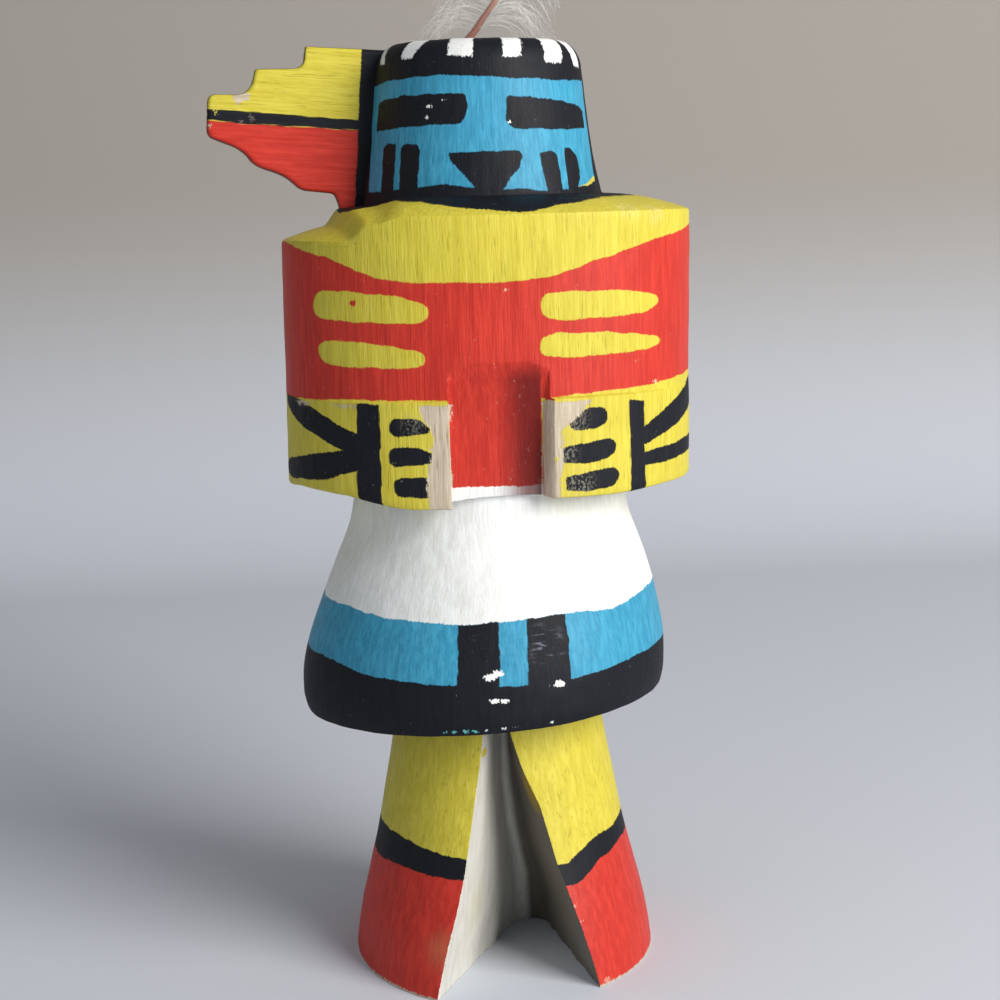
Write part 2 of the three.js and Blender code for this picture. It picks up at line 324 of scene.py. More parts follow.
def give_slots(made: bpy.types.Object, count: int) -> None:
    """Gives an object empty finish slots."""
    while len(made.data.materials) < count:
        made.data.materials.append(None)


def keep_largest(made: bpy.types.Object) -> None:
    """Drops every loose scrap of a mesh but its largest piece."""
    mesh = made.data
    ends = np.empty(len(mesh.edges) * 2, dtype=np.int32)
    mesh.edges.foreach_get("vertices", ends)
    a, b = ends.reshape(-1, 2).T
    label = np.arange(len(mesh.vertices))
    while True:
        least = np.minimum(label[a], label[b])
        new = label.copy()
        np.minimum.at(new, a, least)
        np.minimum.at(new, b, least)
        new = new[new]
        if (new == label).all():
            break
        label = new
    main_piece = np.bincount(label).argmax()
    doomed = np.flatnonzero(label != main_piece)
    if not len(doomed):
        return
    work = bmesh.new()
    work.from_mesh(mesh)
    work.verts.ensure_lookup_table()
    bmesh.ops.delete(work, geom=[work.verts[int(i)] for i in doomed], context="VERTS")
    work.to_mesh(mesh)
    work.free()


def shade(made: bpy.types.Object, crease: float) -> None:
    """Shades an object smoothly, with a break at edges sharper than crease degrees."""
    made.data.polygons.foreach_set("use_smooth", [True] * len(made.data.polygons))
    made.data.set_sharp_from_angle(angle=math.radians(crease))


# ---- Shader maths ----------------------------------------------------------------------------


Value = Union[float, "Socket"]


class Socket:
    """One output of a material's nodes, which arithmetic can be written with."""

    def __init__(self, tree: "Tree", plug: bpy.types.NodeSocket) -> None:
        """Keeps the output and the tree that new nodes go to."""
        self.tree, self.plug = tree, plug

    def __add__(self, other: Value) -> "Socket":
        """The sum."""
        return self.tree.maths("ADD", self, other)

    __radd__ = __add__

    def __sub__(self, other: Value) -> "Socket":
        """This less the other."""
        return self.tree.maths("SUBTRACT", self, other)

    def __rsub__(self, other: Value) -> "Socket":
        """The other less this."""
        return self.tree.maths("SUBTRACT", other, self)

    def __mul__(self, other: Value) -> "Socket":
        """The product."""
        return self.tree.maths("MULTIPLY", self, other)

    __rmul__ = __mul__

    def __truediv__(self, other: Value) -> "Socket":
        """This over the other."""
        return self.tree.maths("DIVIDE", self, other)

    def __neg__(self) -> "Socket":
        """The negative."""
        return self.tree.maths("MULTIPLY", self, -1.0)

    def __abs__(self) -> "Socket":
        """The size without its sign."""
        return self.tree.maths("ABSOLUTE", self)

    def __pow__(self, power: float) -> "Socket":
        """This raised to a power."""
        return self.tree.maths("POWER", self, power)

    def least(self, other: Value) -> "Socket":
        """The smaller of the two."""
        return self.tree.maths("MINIMUM", self, other)

    def most(self, other: Value) -> "Socket":
        """The larger of the two."""
        return self.tree.maths("MAXIMUM", self, other)

    def rise(self, low: float, high: float) -> "Socket":
        """A soft step: 0 where this is at low or beyond it, and 1 at high."""
        settings = {"interpolation_type": "SMOOTHSTEP", "clamp": True}
        ends = {"From Min": low, "From Max": high, "To Min": 0.0, "To Max": 1.0}
        if low > high:
            ends = {"From Min": high, "From Max": low, "To Min": 1.0, "To Max": 0.0}
        return self.tree.node("ShaderNodeMapRange", settings, {"Value": self, **ends})


class Tree:
    """Writes the nodes of one material."""

    def __init__(self, name: str) -> None:
        """Starts an empty material."""
        self.material = bpy.data.materials.new(name)
        self.material.use_nodes = True
        self.nodes = self.material.node_tree.nodes
        self.nodes.clear()

    def node(self, kind: str, settings: dict, values: dict, output: Union[int, str] = 0) -> Socket:
        """Adds a node.

        Args:
            kind: the node's type.
            settings: its own settings, set first; stops are a ramp's (position, colour) pairs.
            values: what its sockets get by name or number, each a number, a colour or a Socket.
            output: the name or number of the output wanted.

        Returns:
            That output.
        """
        made = self.nodes.new(kind)
        for name, setting in settings.items():
            if name == "stops":
                self._set_stops(made.color_ramp, setting)
            else:
                setattr(made, name, setting)
        for name, value in values.items():
            if isinstance(value, Socket):
                self.material.node_tree.links.new(value.plug, made.inputs[name])
            else:
                made.inputs[name].default_value = value
        return Socket(self, made.outputs[output]) if made.outputs else None

    @staticmethod
    def _set_stops(ramp: bpy.types.ColorRamp, stops: Sequence[tuple[float, Sequence[float]]]) -> None:
        """Gives a ramp its stops, in order."""
        while len(ramp.elements) < len(stops):
            ramp.elements.new(1.0)
        for element, (position, colour) in zip(ramp.elements, stops):
            element.position, element.color = position, colour

    def maths(self, operation: str, *values: Value) -> Socket:
        """A Math node's result on its values, in order."""
        return self.node("ShaderNodeMath", {"operation": operation}, dict(enumerate(values)))

    def vector(self, operation: str, *values: Union[Socket, Triple], output: str = "Vector") -> Socket:
        """A Vector Math node's result on its values, in order."""
        return self.node("ShaderNodeVectorMath", {"operation": operation}, dict(enumerate(values)), output)

    def split(self, vector: Socket) -> tuple[Socket, Socket, Socket]:
        """A vector's three parts."""
        first = self.node("ShaderNodeSeparateXYZ", {}, {"Vector": vector})
        return tuple(Socket(self, plug) for plug in first.plug.node.outputs)

    def mix(self, share: Value, start: Union[Socket, "Tint"], end: Union[Socket, "Tint"]) -> Socket:
        """A colour that goes from start to end as share goes from 0 to 1."""
        a, b = (value.linear() if isinstance(value, Tint) else value for value in (start, end))
        settings = {"data_type": "RGBA", "clamp_factor": True}
        return self.node("ShaderNodeMix", settings, {"Factor": share, 6: a, 7: b}, 2)

    def noise(self, place: Socket, pitch: Triple, detail: float = 2.0, rough: float = 0.5) -> Socket:
        """Noise between 0 and 1 whose bumps are pitch mm across along each axis."""
        scaled = self.vector("DIVIDE", place, pitch)
        values = {"Vector": scaled, "Scale": 1.0, "Detail": detail, "Roughness": rough}
        return self.node("ShaderNodeTexNoise", {}, values, "Fac")

    def line(self, along: Socket, stops: Sequence[Pair]) -> Socket:
        """A painted line's height, given by a few heights along it.

        Args:
            along: the place along the line.
            stops: (place, height) pairs in rising order of place.

        Returns:
            The height there.
        """
        (first, last), heights = (stops[0][0], stops[-1][0]), [height for _, height in stops]
        low, high = min(heights), max(heights)
        tones = [((at - first) / (last - first), (height - low) / (high - low)) for at, height in stops]
        ramp = {"stops": [(at, (tone, tone, tone, 1.0)) for at, tone in tones]}
        share = self.node("ShaderNodeValToRGB", ramp, {"Fac": (along - first) / (last - first)})
        return share * (high - low) + low


@dataclass(frozen=True)
class Tint:
    """A colour as a painter would match it, 0 to 255 for red, green and blue."""

    red: int
    green: int
    blue: int

    def linear(self) -> tuple[float, float, float, float]:
        """The colour as light, as a shader takes it."""
        parts = [value / 255 for value in (self.red, self.green, self.blue)]
        light = [p / 12.92 if p <= 0.04045 else ((p + 0.055) / 1.055) ** 2.4 for p in parts]
        return (*light, 1.0)


@dataclass(frozen=True)
class Pot:
    """A pot of craft paint: how it looks brushed full, brushed thin, and soiled in the grain."""

    full: Tint
    thin: Tint
    soiled: Tint
    soil: float  # how much of the grain's grooves is soiled, 0 to 1
    roughness: float


class Paint(Enum):
    """The doll's paints, and its wood where it shows."""

    YELLOW = Pot(Tint(208, 195, 72), Tint(196, 181, 56), Tint(138, 122, 26), 0.45, 0.52)
    RED = Pot(Tint(202, 56, 42), Tint(182, 44, 32), Tint(136, 28, 22), 0.24, 0.50)
    BLUE = Pot(Tint(66, 156, 188), Tint(50, 136, 168), Tint(30, 98, 126), 0.32, 0.52)
    WHITE = Pot(Tint(234, 236, 234), Tint(224, 225, 221), Tint(190, 186, 176), 0.16, 0.58)
    BLACK = Pot(Tint(8, 10, 17), Tint(13, 16, 25), Tint(26, 30, 41), 0.10, 0.62)
    BARE = Pot(Tint(204, 192, 172), Tint(184, 168, 144), Tint(126, 108, 84), 0.50, 0.72)
    GESSO = Pot(Tint(212, 211, 202), Tint(200, 198, 188), Tint(160, 154, 140), 0.28, 0.70)


class PaintedWood:
    """Wood under coats of paint, laid one over another as nodes."""

    SOFT = 0.10  # mm over which a painted edge goes from one colour to the next
    SMEAR = (1.0, 1.0, 1.8)  # a chip is this much lower than it is wide

    def __init__(self, name: str, ground: Paint, here: Union["Place", str], grain: Triple,
                 wobble: float = 0.22) -> None:
        """Starts with one coat all over.

        Args:
            name: the material's name.
            ground: the first coat.
            here: the doll's axes in the frame, or the name of a place in mm kept at the vertices.
            grain: the size of a grain streak along each axis, in mm.
            wobble: how far the brush strays from a line, in mm.
        """
        tree = self.tree = Tree(name)
        if isinstance(here, Place):
            where = tree.node("ShaderNodeTexCoord", {}, {}, "Object")
            where = tree.vector("MULTIPLY", where, (1 / MM, 1 / MM, 1 / MM))
            self.here = tree.vector("SUBTRACT", where, (here.axis_x, here.axis_y, 0))
        else:
            self.here = tree.node("ShaderNodeAttribute", {"attribute_name": here}, {}, "Vector")
        self.x, self.y, self.z = tree.split(self.here)
        fine = tuple(size * 0.45 for size in grain)
        self.streak = tree.noise(self.here, grain, 3.0, 0.6)
        self.groove = tree.noise(self.here, fine, 2.0, 0.6)
        self.cloud = tree.noise(self.here, (7.0, 7.0, 9.0), 2.0)
        self.speck = tree.noise(self.here, (0.35, 0.35, 0.45), 1.0)
        self.cloth = tree.noise(self.here, (2.4, 2.4, 0.7), 3.0, 0.6)
        stray = tree.node("ShaderNodeTexNoise", {}, {"Vector": self.here, "Scale": 0.3, "Detail": 3.0}, 1)
        self.stray = tuple((part - 0.5) * (4 * wobble) for part in tree.split(stray)[:2])
        self.colour: Union[Socket, Tint] = ground.value.full
        self.roughness: Value = ground.value.roughness
        self.film: Value = 0.0
        self.coat(ground, 1.0)

    def wrap(self, per_degree: float) -> tuple[Socket, Socket]:
        """Coordinates on the round: along it and up it, in mm, with the brush's wobble in them.

        Args:
            per_degree: the length of one degree round the surface, in mm.

        Returns:
            The distance round from the front, towards the doll's left, and the height.
        """
        angle = self.tree.maths("ARCTAN2", self.x, -self.y) * math.degrees(1)
        return angle * per_degree + self.stray[0], self.z + self.stray[1]

    def shape(self, u: Socket, v: Socket, corners: Sequence[Pair], per_unit: float,
              round_off: float = 0.5) -> Socket:
        """How far a place is outside a painted shape with straight sides.

        Args:
            u: the place along.
            v: the place up.
            corners: the shape's corners in order, none of them hollow, as (along, up).
            per_unit: what a corner's first number is multiplied by to give mm.
            round_off: how much the corners are rounded, in mm.

        Returns:
            The distance outside it in mm, under 0 inside.
        """
        points = [(along * per_unit, up) for along, up in corners]
        pairs = list(zip(points, points[1:] + points[:1]))
        turn = math.copysign(1, sum(a[0] * b[1] - b[0] * a[1] for a, b in pairs))
        outside = None
        for (ax, ay), (bx, by) in pairs:
            length = math.hypot(bx - ax, by - ay)
            nx, ny = turn * (by - ay) / length, -turn * (bx - ax) / length
            side = self.tree.maths("MULTIPLY_ADD", u, nx, -(nx * ax + ny * ay))
            side = self.tree.maths("MULTIPLY_ADD", v, ny, side)
            outside = side if outside is None else self.tree.maths("SMOOTH_MAX", outside, side, round_off)
        return outside

    def shapes(self, u: Socket, v: Socket, many: Sequence[Sequence[Pair]], per_unit: float,
               round_off: float = 0.5) -> Socket:
        """How far a place is outside the nearest of several painted shapes, in mm."""
        nearest = None
        for corners in many:
            outside = self.shape(u, v, corners, per_unit, round_off)
            nearest = outside if nearest is None else nearest.least(outside)
        return nearest

    def inside(self, distance: Socket, ragged: float = 0.12) -> Socket:
        """A mask that is 1 inside a distance of 0, with an edge that the grain makes ragged."""
        edge = distance + (self.groove - 0.5) * (4 * ragged)
        return edge.rise(self.SOFT, -self.SOFT)

    def spots(self, marks: Sequence[tuple[Triple, float]]) -> Socket:
        """A mask of small chips.

        Args:
            marks: each chip's place in mm, and its radius.

        Returns:
            1 on the chips.
        """
        nearest = None
        for centre, radius in marks:
            away = self.tree.vector("MULTIPLY", self.tree.vector("SUBTRACT", self.here, centre), self.SMEAR)
            away = self.tree.vector("LENGTH", away, output="Value") - radius
            nearest = away if nearest is None else nearest.least(away)
        torn = nearest + (self.speck - 0.5) * 1.3 + (self.groove - 0.5) * 0.8
        return torn.rise(0.12, -0.12)

    def coat(self, paint: Paint, mask: Value, film: float = 0.03) -> None:
        """Lays a coat over what is there.

        Args:
            paint: the paint.
            mask: where it goes, 0 to 1.
            film: its thickness in mm.
        """
        pot = paint.value
        body = self.tree.mix(self.streak.rise(0.30, 0.66), pot.full, pot.thin)
        body = self.tree.mix((0.5 - self.groove).rise(0.08, 0.20) * pot.soil, body, pot.soiled)
        if not isinstance(mask, Socket):
            self.colour = body
            return
        self.colour = self.tree.mix(mask, self.colour, body)
        self.roughness = (pot.roughness - self.roughness) * mask + self.roughness
        self.film = mask * film + self.film

    def tone(self, mask: Value, tint: Tint) -> None:
        """Stains what is there towards a colour, leaving its gloss."""
        self.colour = self.tree.mix(mask, self.colour, tint)

    def scuff(self, tint: Tint, low: float, high: float, share: float) -> None:
        """Flecks what is there with small rubbed spots.

        Args:
            tint: the flecks' colour.
            low: the noise from which a fleck starts.
            high: the noise at which it is full.
            share: how strong a full fleck is.
        """
        flecks = self.tree.noise(self.here, (0.7, 0.7, 0.9), 3.0, 0.7)
        self.tone(flecks.rise(low, high) * share, tint)

    def rub(self, low: float, high: float) -> None:
        """Wears the paint through to wood where the mesh says it is worn from low to high."""
        worn = self.tree.node("ShaderNodeAttribute", {"attribute_name": WORN}, {}, "Fac")
        worn = worn + (self.groove - 0.5) * 0.8 + (self.cloud - 0.5) * 0.8
        self.coat(Paint.BARE, worn.rise(low, high), -0.03)

    def glow(self, mark: tuple[Triple, float], soft: float) -> Socket:
        """A round mask about a place of a radius, which fades over a few mm."""
        centre, radius = mark
        away = self.tree.vector("DISTANCE", self.here, centre, output="Value")
        return (away - radius + (self.cloud - 0.5) * soft).rise(soft, -soft)

    def finish(self, relief: float, gloss: float = 0.25) -> bpy.types.Material:
        """Ends the nodes in a surface.

        Args:
            relief: the height of the grain's ridges, in mm.
            gloss: the surface's specular level.

        Returns:
            The material.
        """
        tree = self.tree
        cloudy = (self.cloud - 0.5) * 0.16 + 1.0
        settings = {"data_type": "RGBA", "blend_type": "MULTIPLY"}
        shade_of = tree.node("ShaderNodeCombineXYZ", {}, {"X": cloudy, "Y": cloudy, "Z": cloudy})
        tinted = tree.node("ShaderNodeMix", settings, {"Factor": 1.0, 6: self.colour, 7: shade_of}, 2)
        height = self.streak * relief + self.groove * (relief * 0.8) + self.speck * 0.012 + self.film
        bump = {"Height": height, "Distance": MM, "Strength": 1.0}
        normal = tree.node("ShaderNodeBump", {}, bump)
        rough = self.roughness + (self.speck - 0.5) * 0.12 + (self.cloud - 0.5) * 0.15
        values = {"Base Color": tinted, "Roughness": rough, "Normal": normal, "Specular IOR Level": gloss}
        surface = tree.node("ShaderNodeBsdfPrincipled", {}, values)
        tree.node("ShaderNodeOutputMaterial", {}, {"Surface": surface})
        return tree.material


# ---- Finishes --------------------------------------------------------------------------------


@dataclass(frozen=True)
class MaskPaint:
    """The case mask: a blue face with black features under a brow of white and black locks.

    Corners are (degrees round from the front towards the doll's left, mm above the table).
    """

    per_degree: float = math.radians(17.5)
    face: tuple[Pair, ...] = ((-74, 126.5), (68, 126.8), (72, 133.6), (77, 150), (-91, 150), (-88, 141),
                              (-80, 134))
    brow: tuple[Pair, ...] = ((-90, 143.8), (-76, 143.6), (-56, 144.1), (-22, 144.4), (7, 143.9), (40, 143.4),
                              (71, 143.8), (90, 143.8))
    chin: tuple[Pair, ...] = (
        (-90, 127.0), (-59, 127.1), (-35, 127.6), (-20, 128.0), (-11, 127.4), (5, 127.1), (26, 126.7),
        (37, 126.5), (49, 127.0), (69, 127.8), (90, 128.0),
    )
    eyes: tuple[tuple[Pair, ...], ...] = (
        ((-71, 140.9), (-44, 141.7), (-11, 141.5), (-9.5, 140), (-11, 138), (-14, 137), (-72, 136.4)),
        ((10.5, 141), (39, 140.6), (61, 139.6), (68, 138.8), (67, 136.2), (31, 135.8), (13, 136.1),
         (9, 137.3)),
    )
    nose: tuple[Pair, ...] = (
        (-19.5, 132.7), (15.5, 132.7), (17.5, 131.8), (16, 130.6), (5, 126.8), (-5.5, 126.8), (-19, 131.8),
    )
    cheeks: tuple[tuple[Pair, ...], ...] = (
        ((-62, 134.0), (-58, 134.6), (-51, 134.3), (-49, 127), (-59, 127)),
        ((-47.5, 133.6), (-46, 134.2), (-37, 134.2), (-35, 133.5), (-35, 127), (-45, 127)),
        ((26, 132.4), (34, 132.7), (37, 131.8), (37, 126.4), (28, 126.4)),
        ((42, 133.0), (46, 133.3), (52, 131.8), (52, 129.2), (47, 126.4), (41, 126.4)),
    )
    locks: tuple[tuple[Pair, ...], ...] = (
        ((-73, 146.8), (-66, 146.7), (-77, 151), (-84, 151)),
        ((-51, 147.3), (-43, 147), (-34, 151), (-51, 151)),
        ((-21, 147.3), (-7, 147.0), (-6, 151), (-21, 151)), ((9, 146.9), (20, 146.8), (25, 151), (12, 151)),
        ((35, 146.3), (48, 146.2), (55, 151), (38, 151)), ((62, 145.9), (71, 145.7), (72, 151), (56, 151)),
    )
    crown_inset: float = 12.3  # radius on the crown to which the white locks reach
    sliver: tuple[Pair, ...] = ((48, 126.9), (69, 128.7), (69, 126.6))  # yellow showing by the chin
    chips: tuple[tuple[Triple, float], ...] = (((-8.7, -14.8, 139.7), 0.42), ((-9.2, -15, 138.1), 0.32),
                                               ((-6.6, -15.9, 140.6), 0.2), ((3.4, -16.9, 137.0), 0.3))

    def material(self, place: Place) -> bpy.types.Material:
        """The finish on the mask.

        Args:
            place: the doll's axes in the frame.

        Returns:
            The material.
        """
        wood = PaintedWood("mask_paint", Paint.BLACK, place, (0.55, 0.55, 7.0))
        u, v = wood.wrap(self.per_degree)
        brow = wood.tree.line(u / self.per_degree, self.brow)
        chin = wood.tree.line(u / self.per_degree, self.chin)
        face = wood.shape(u, v, self.face, self.per_degree, 0.8).most(v - brow).most(chin - v)
        wood.coat(Paint.BLUE, wood.inside(face))
        wood.coat(Paint.YELLOW, wood.inside(wood.shape(u, v, self.sliver, self.per_degree, 0.1).most(face)))
        black = wood.shapes(u, v, (*self.eyes, self.nose, *self.cheeks), self.per_degree, 0.7)
        wood.coat(Paint.BLACK, wood.inside(black))
        level = wood.tree.vector("MULTIPLY", wood.here, (1, 1, 0))
        inset = self.crown_inset - wood.tree.vector("LENGTH", level, output="Value")
        locks = wood.shapes(u, v, self.locks, self.per_degree, 0.4).most(inset)
        wood.coat(Paint.WHITE, wood.inside(locks, 0.3))
        wood.coat(Paint.WHITE, wood.spots(self.chips))
        wood.scuff(Tint(150, 154, 164), 0.66, 0.80, 0.35)
        return wood.finish(0.05)


@dataclass(frozen=True)
class BlockPaint:
    """Arms and chest: a red shirt under a yellow yoke, with barred sleeves and black-striped forearms.

    Corners are (degrees round from the front towards the doll's left, mm above the table).
    """

    per_degree: float = math.radians(30)
    yoke: tuple[Pair, ...] = (
        (-180, 117), (-130, 118.5), (-95, 120.3), (-74, 119.4), (-55, 117.2), (-36, 113.9), (-27, 113.4),
        (0, 113.1), (7, 113.3), (18, 113.9), (27, 115.1), (37, 116.5), (53, 118.7), (78, 120.9), (95, 121),
        (130, 118.5), (180, 117),
    )
    sleeve_end: tuple[Pair, ...] = (
        (-180, 95.5), (-74, 95.3), (-47, 95.7), (-16, 95.6), (15, 95.5), (26, 95.8), (46, 96.2), (55, 96.5),
        (78, 97.6), (100, 97.6), (180, 95.5),
    )
    collar: tuple[Pair, ...] = (
        (-180, 125.5), (-95, 124.6), (-75, 123.9), (-62, 124.2), (-52, 125.2), (-40, 125.6), (-27, 125.3),
        (-16, 124.6), (-1, 124.0), (8, 123.5), (14, 123.6), (22, 124.3), (31, 124.7), (38, 125.1),
        (52, 125.5), (80, 125.6), (180, 125.5),
    )
    forearm_back: float = 118.0  # degrees to which the forearms reach
    hollow: Pair = (-7.6, 6.6)  # mm, its two sides
    hollow_mouth: float = -22.0
    bars: tuple[tuple[Pair, ...], ...] = (
        ((-61.5, 109.0), (-61.3, 111.2), (-59, 112.5), (-43, 112.3), (-27, 111.2), (-21.6, 109.9),
         (-21.4, 108.2), (-24.5, 107.1), (-43, 107.1), (-59, 107.7)),
        ((-60.5, 102.2), (-60, 104.2), (-57, 104.9), (-30, 103.9), (-23.2, 103.0), (-22.2, 101.6),
         (-25, 100.5), (-37, 100.2), (-58, 100.9)),
        ((13.6, 108.6), (14.2, 110.8), (17, 111.6), (50, 111.2), (55.6, 110.3), (56.4, 108.9), (52, 107.6),
         (17, 107.1), (14.2, 107.6)),
        ((13.2, 102.6), (13.6, 104.6), (16, 105.4), (51, 104.6), (57, 103.8), (57.6, 102.6), (54, 101.9),
         (17, 101.4), (14, 101.8)),
    )
    wrists: tuple[tuple[Pair, ...], ...] = (
        ((-45.5, 95.2), (-37.8, 95.2), (-37.8, 78), (-46, 78)),
        ((42.8, 94.4), (48.5, 94.2), (49, 78), (43.2, 78)),
    )
    slashes: tuple[tuple[Pair, ...], ...] = (
        ((-84, 96.6), (-66, 94.7), (-43, 90.0), (-43, 86.5), (-75, 92.2), (-84, 94)),
        ((-43, 89.0), (-43, 85.3), (-58, 82.8), (-80, 82), (-88, 83), (-84, 85.4), (-60, 87.2)),
        ((46.5, 87.0), (46.5, 89.6), (66, 94.2), (84, 97.6), (90, 97.6), (90, 93.6), (80, 92.0), (56, 87.4)),
        ((46.5, 86.2), (60, 86.6), (90, 88.2), (90, 85.0), (60, 83.9), (46.5, 83.9)),
    )
    fingers: tuple[tuple[Pair, ...], ...] = (
        ((-34.6, 90.9), (-34.6, 92.4), (-33.2, 93), (-26, 93), (-22, 91.5), (-22.6, 90.6), (-33.2, 90.2)),
        ((-35.2, 86.3), (-35.2, 87.9), (-33.6, 88.6), (-26, 88.6), (-21, 87.6), (-21.6, 86.2), (-34, 85.6)),
        ((-33.8, 81.5), (-33.8, 83.4), (-32, 84.1), (-23.5, 83.9), (-23.5, 80.8), (-32.5, 80.8)),
        ((22, 91.4), (24, 92.6), (29, 93.8), (34, 93.7), (35.4, 92.8), (35.2, 91.6), (32.5, 90.7),
         (24, 90.2)),
        ((20, 85.4), (20.4, 87.9), (28, 88.6), (36, 88.9), (38, 88.2), (37.8, 86.8), (35.5, 85.8),
         (28, 85.2)),
        ((21, 81.2), (21, 83.2), (31, 84.2), (37.4, 84.2), (39, 83.4), (38.6, 82.2), (36.5, 81.2),
         (28, 80.9)),
    )
    worn_fingers: tuple[tuple[Triple, float], ...] = (((10.6, -25.9, 92.0), 2.6), ((10.2, -26.0, 87.2), 1.6),
                                                      ((12.0, -25.6, 82.0), 2.2), ((-13.2, -25.4, 92.4), 1.2))
    # Painted shadow: the hollow's floor darkens beside the right hand, standing in for the shade that hand
    # casts
    hollow_shadow: tuple[Pair, Pair] = ((-1.5, 4.6), (102.0, 98.0))  # from where to where in x, and in height
    bared: tuple[tuple[Pair, ...], ...] = (
        ((-29, 97), (-12, 97), (-12, 86), (-20, 88)), ((-21.5, 96), (-12, 96), (-12, 76), (-24, 76)),
        ((10, 97), (33, 97), (27, 93.2), (20, 90), (10, 88)), ((10, 96), (19.8, 96), (20.6, 76), (10, 76)),
    )
    bared_top: float = 94.9
    floor_line: float = 81.9  # the kilt's white reaches this high up the hollow's floor
    bared_edge: tuple[Pair, ...] = ((-86, 96.4), (-46, 96.6), (-46, 95.2), (-86, 94.9))
    scuffs: tuple[tuple[Triple, float], ...] = (((20.5, -20.5, 123.4), 1.4), ((25.5, -18, 122.7), 1.2),
                                                ((32.3, -6.8, 122.1), 0.8))
    chips: tuple[tuple[Triple, float], ...] = (((25.1, -18, 96.8), 0.5), ((1.5, -26.3, 112), 0.3))
    red_spot: tuple[Triple, float] = ((-21.6, -20.7, 110.4), 0.75)
    yellow_spot: tuple[Triple, float] = ((8.0, -26.4, 86.1), 0.8)

    def material(self, place: Place) -> bpy.types.Material:
        """The finish on the block.

        Args:
            place: the doll's axes in the frame.

        Returns:
            The material.
        """
        wood = PaintedWood("block_paint", Paint.RED, place, (0.6, 0.6, 9.0))
        u, v = wood.wrap(self.per_degree)
        degrees = u / self.per_degree
        wood.coat(Paint.YELLOW, wood.inside(wood.tree.line(degrees, self.yoke) - v))
        low, high = self.hollow
        in_hollow = (wood.x - low).least(high - wood.x).least(self.hollow_mouth - wood.y)
        forearm = (v - wood.tree.line(degrees, self.sleeve_end)).most(in_hollow)
        forearm = forearm.most((abs(degrees) - self.forearm_back) * self.per_degree)
        wood.coat(Paint.YELLOW, wood.inside(forearm))
        wood.coat(Paint.YELLOW, wood.inside(wood.shapes(u, v, self.bars, self.per_degree, 2.2)))
        wood.coat(Paint.RED, wood.spots((self.red_spot,)))
        marks = wood.shapes(u, v, (*self.wrists, *self.slashes, *self.fingers), self.per_degree, 0.7)
        wood.coat(Paint.BLACK, wood.inside(marks.most(forearm)))
        collar = wood.tree.line(degrees, self.collar) - wood.z - wood.stray[1] * 0.6
        wood.coat(Paint.BLACK, wood.inside(collar))
        rubbed = wood.shapes(u, v, self.bared, self.per_degree).most(in_hollow)
        rubbed = rubbed.least(wood.shape(u, v, self.bared_edge, self.per_degree, 0.3))
        worn = rubbed + (wood.speck - 0.5) * 1.2 + (wood.cloud - 0.5) * 3.0 + (wood.groove - 0.5) * 1.6
        wood.coat(Paint.BARE, worn.most(v - self.bared_top).rise(0.15, -0.15), -0.03)
        wood.coat(Paint.WHITE, wood.inside((v - self.floor_line).most(-in_hollow)))
        wood.coat(Paint.YELLOW, wood.spots((self.yellow_spot,)))
        for mark in self.worn_fingers:
            wood.tone(wood.glow(mark, 1.8) * wood.speck.rise(0.46, 0.64) * 0.42, Tint(176, 170, 150))
        for mark in self.scuffs:
            wood.tone(wood.glow(mark, 1.5) * wood.groove.rise(0.40, 0.62) * 0.5, Tint(220, 210, 168))
        wood.tone(wood.spots(self.chips) * 0.7, Tint(222, 196, 160))
        # Painted shadow of the right hand, darkening the hollow's floor towards it
        across, rising = self.hollow_shadow
        corner = wood.x.rise(*across) * wood.z.rise(*rising) * in_hollow.rise(0.0, 0.3)
        wood.tone(corner * 0.85, Tint(92, 14, 12))
        wood.rub(0.42, 0.75)
        wood.scuff(Tint(196, 190, 170), 0.66, 0.76, 0.35)
        return wood.finish(0.09)


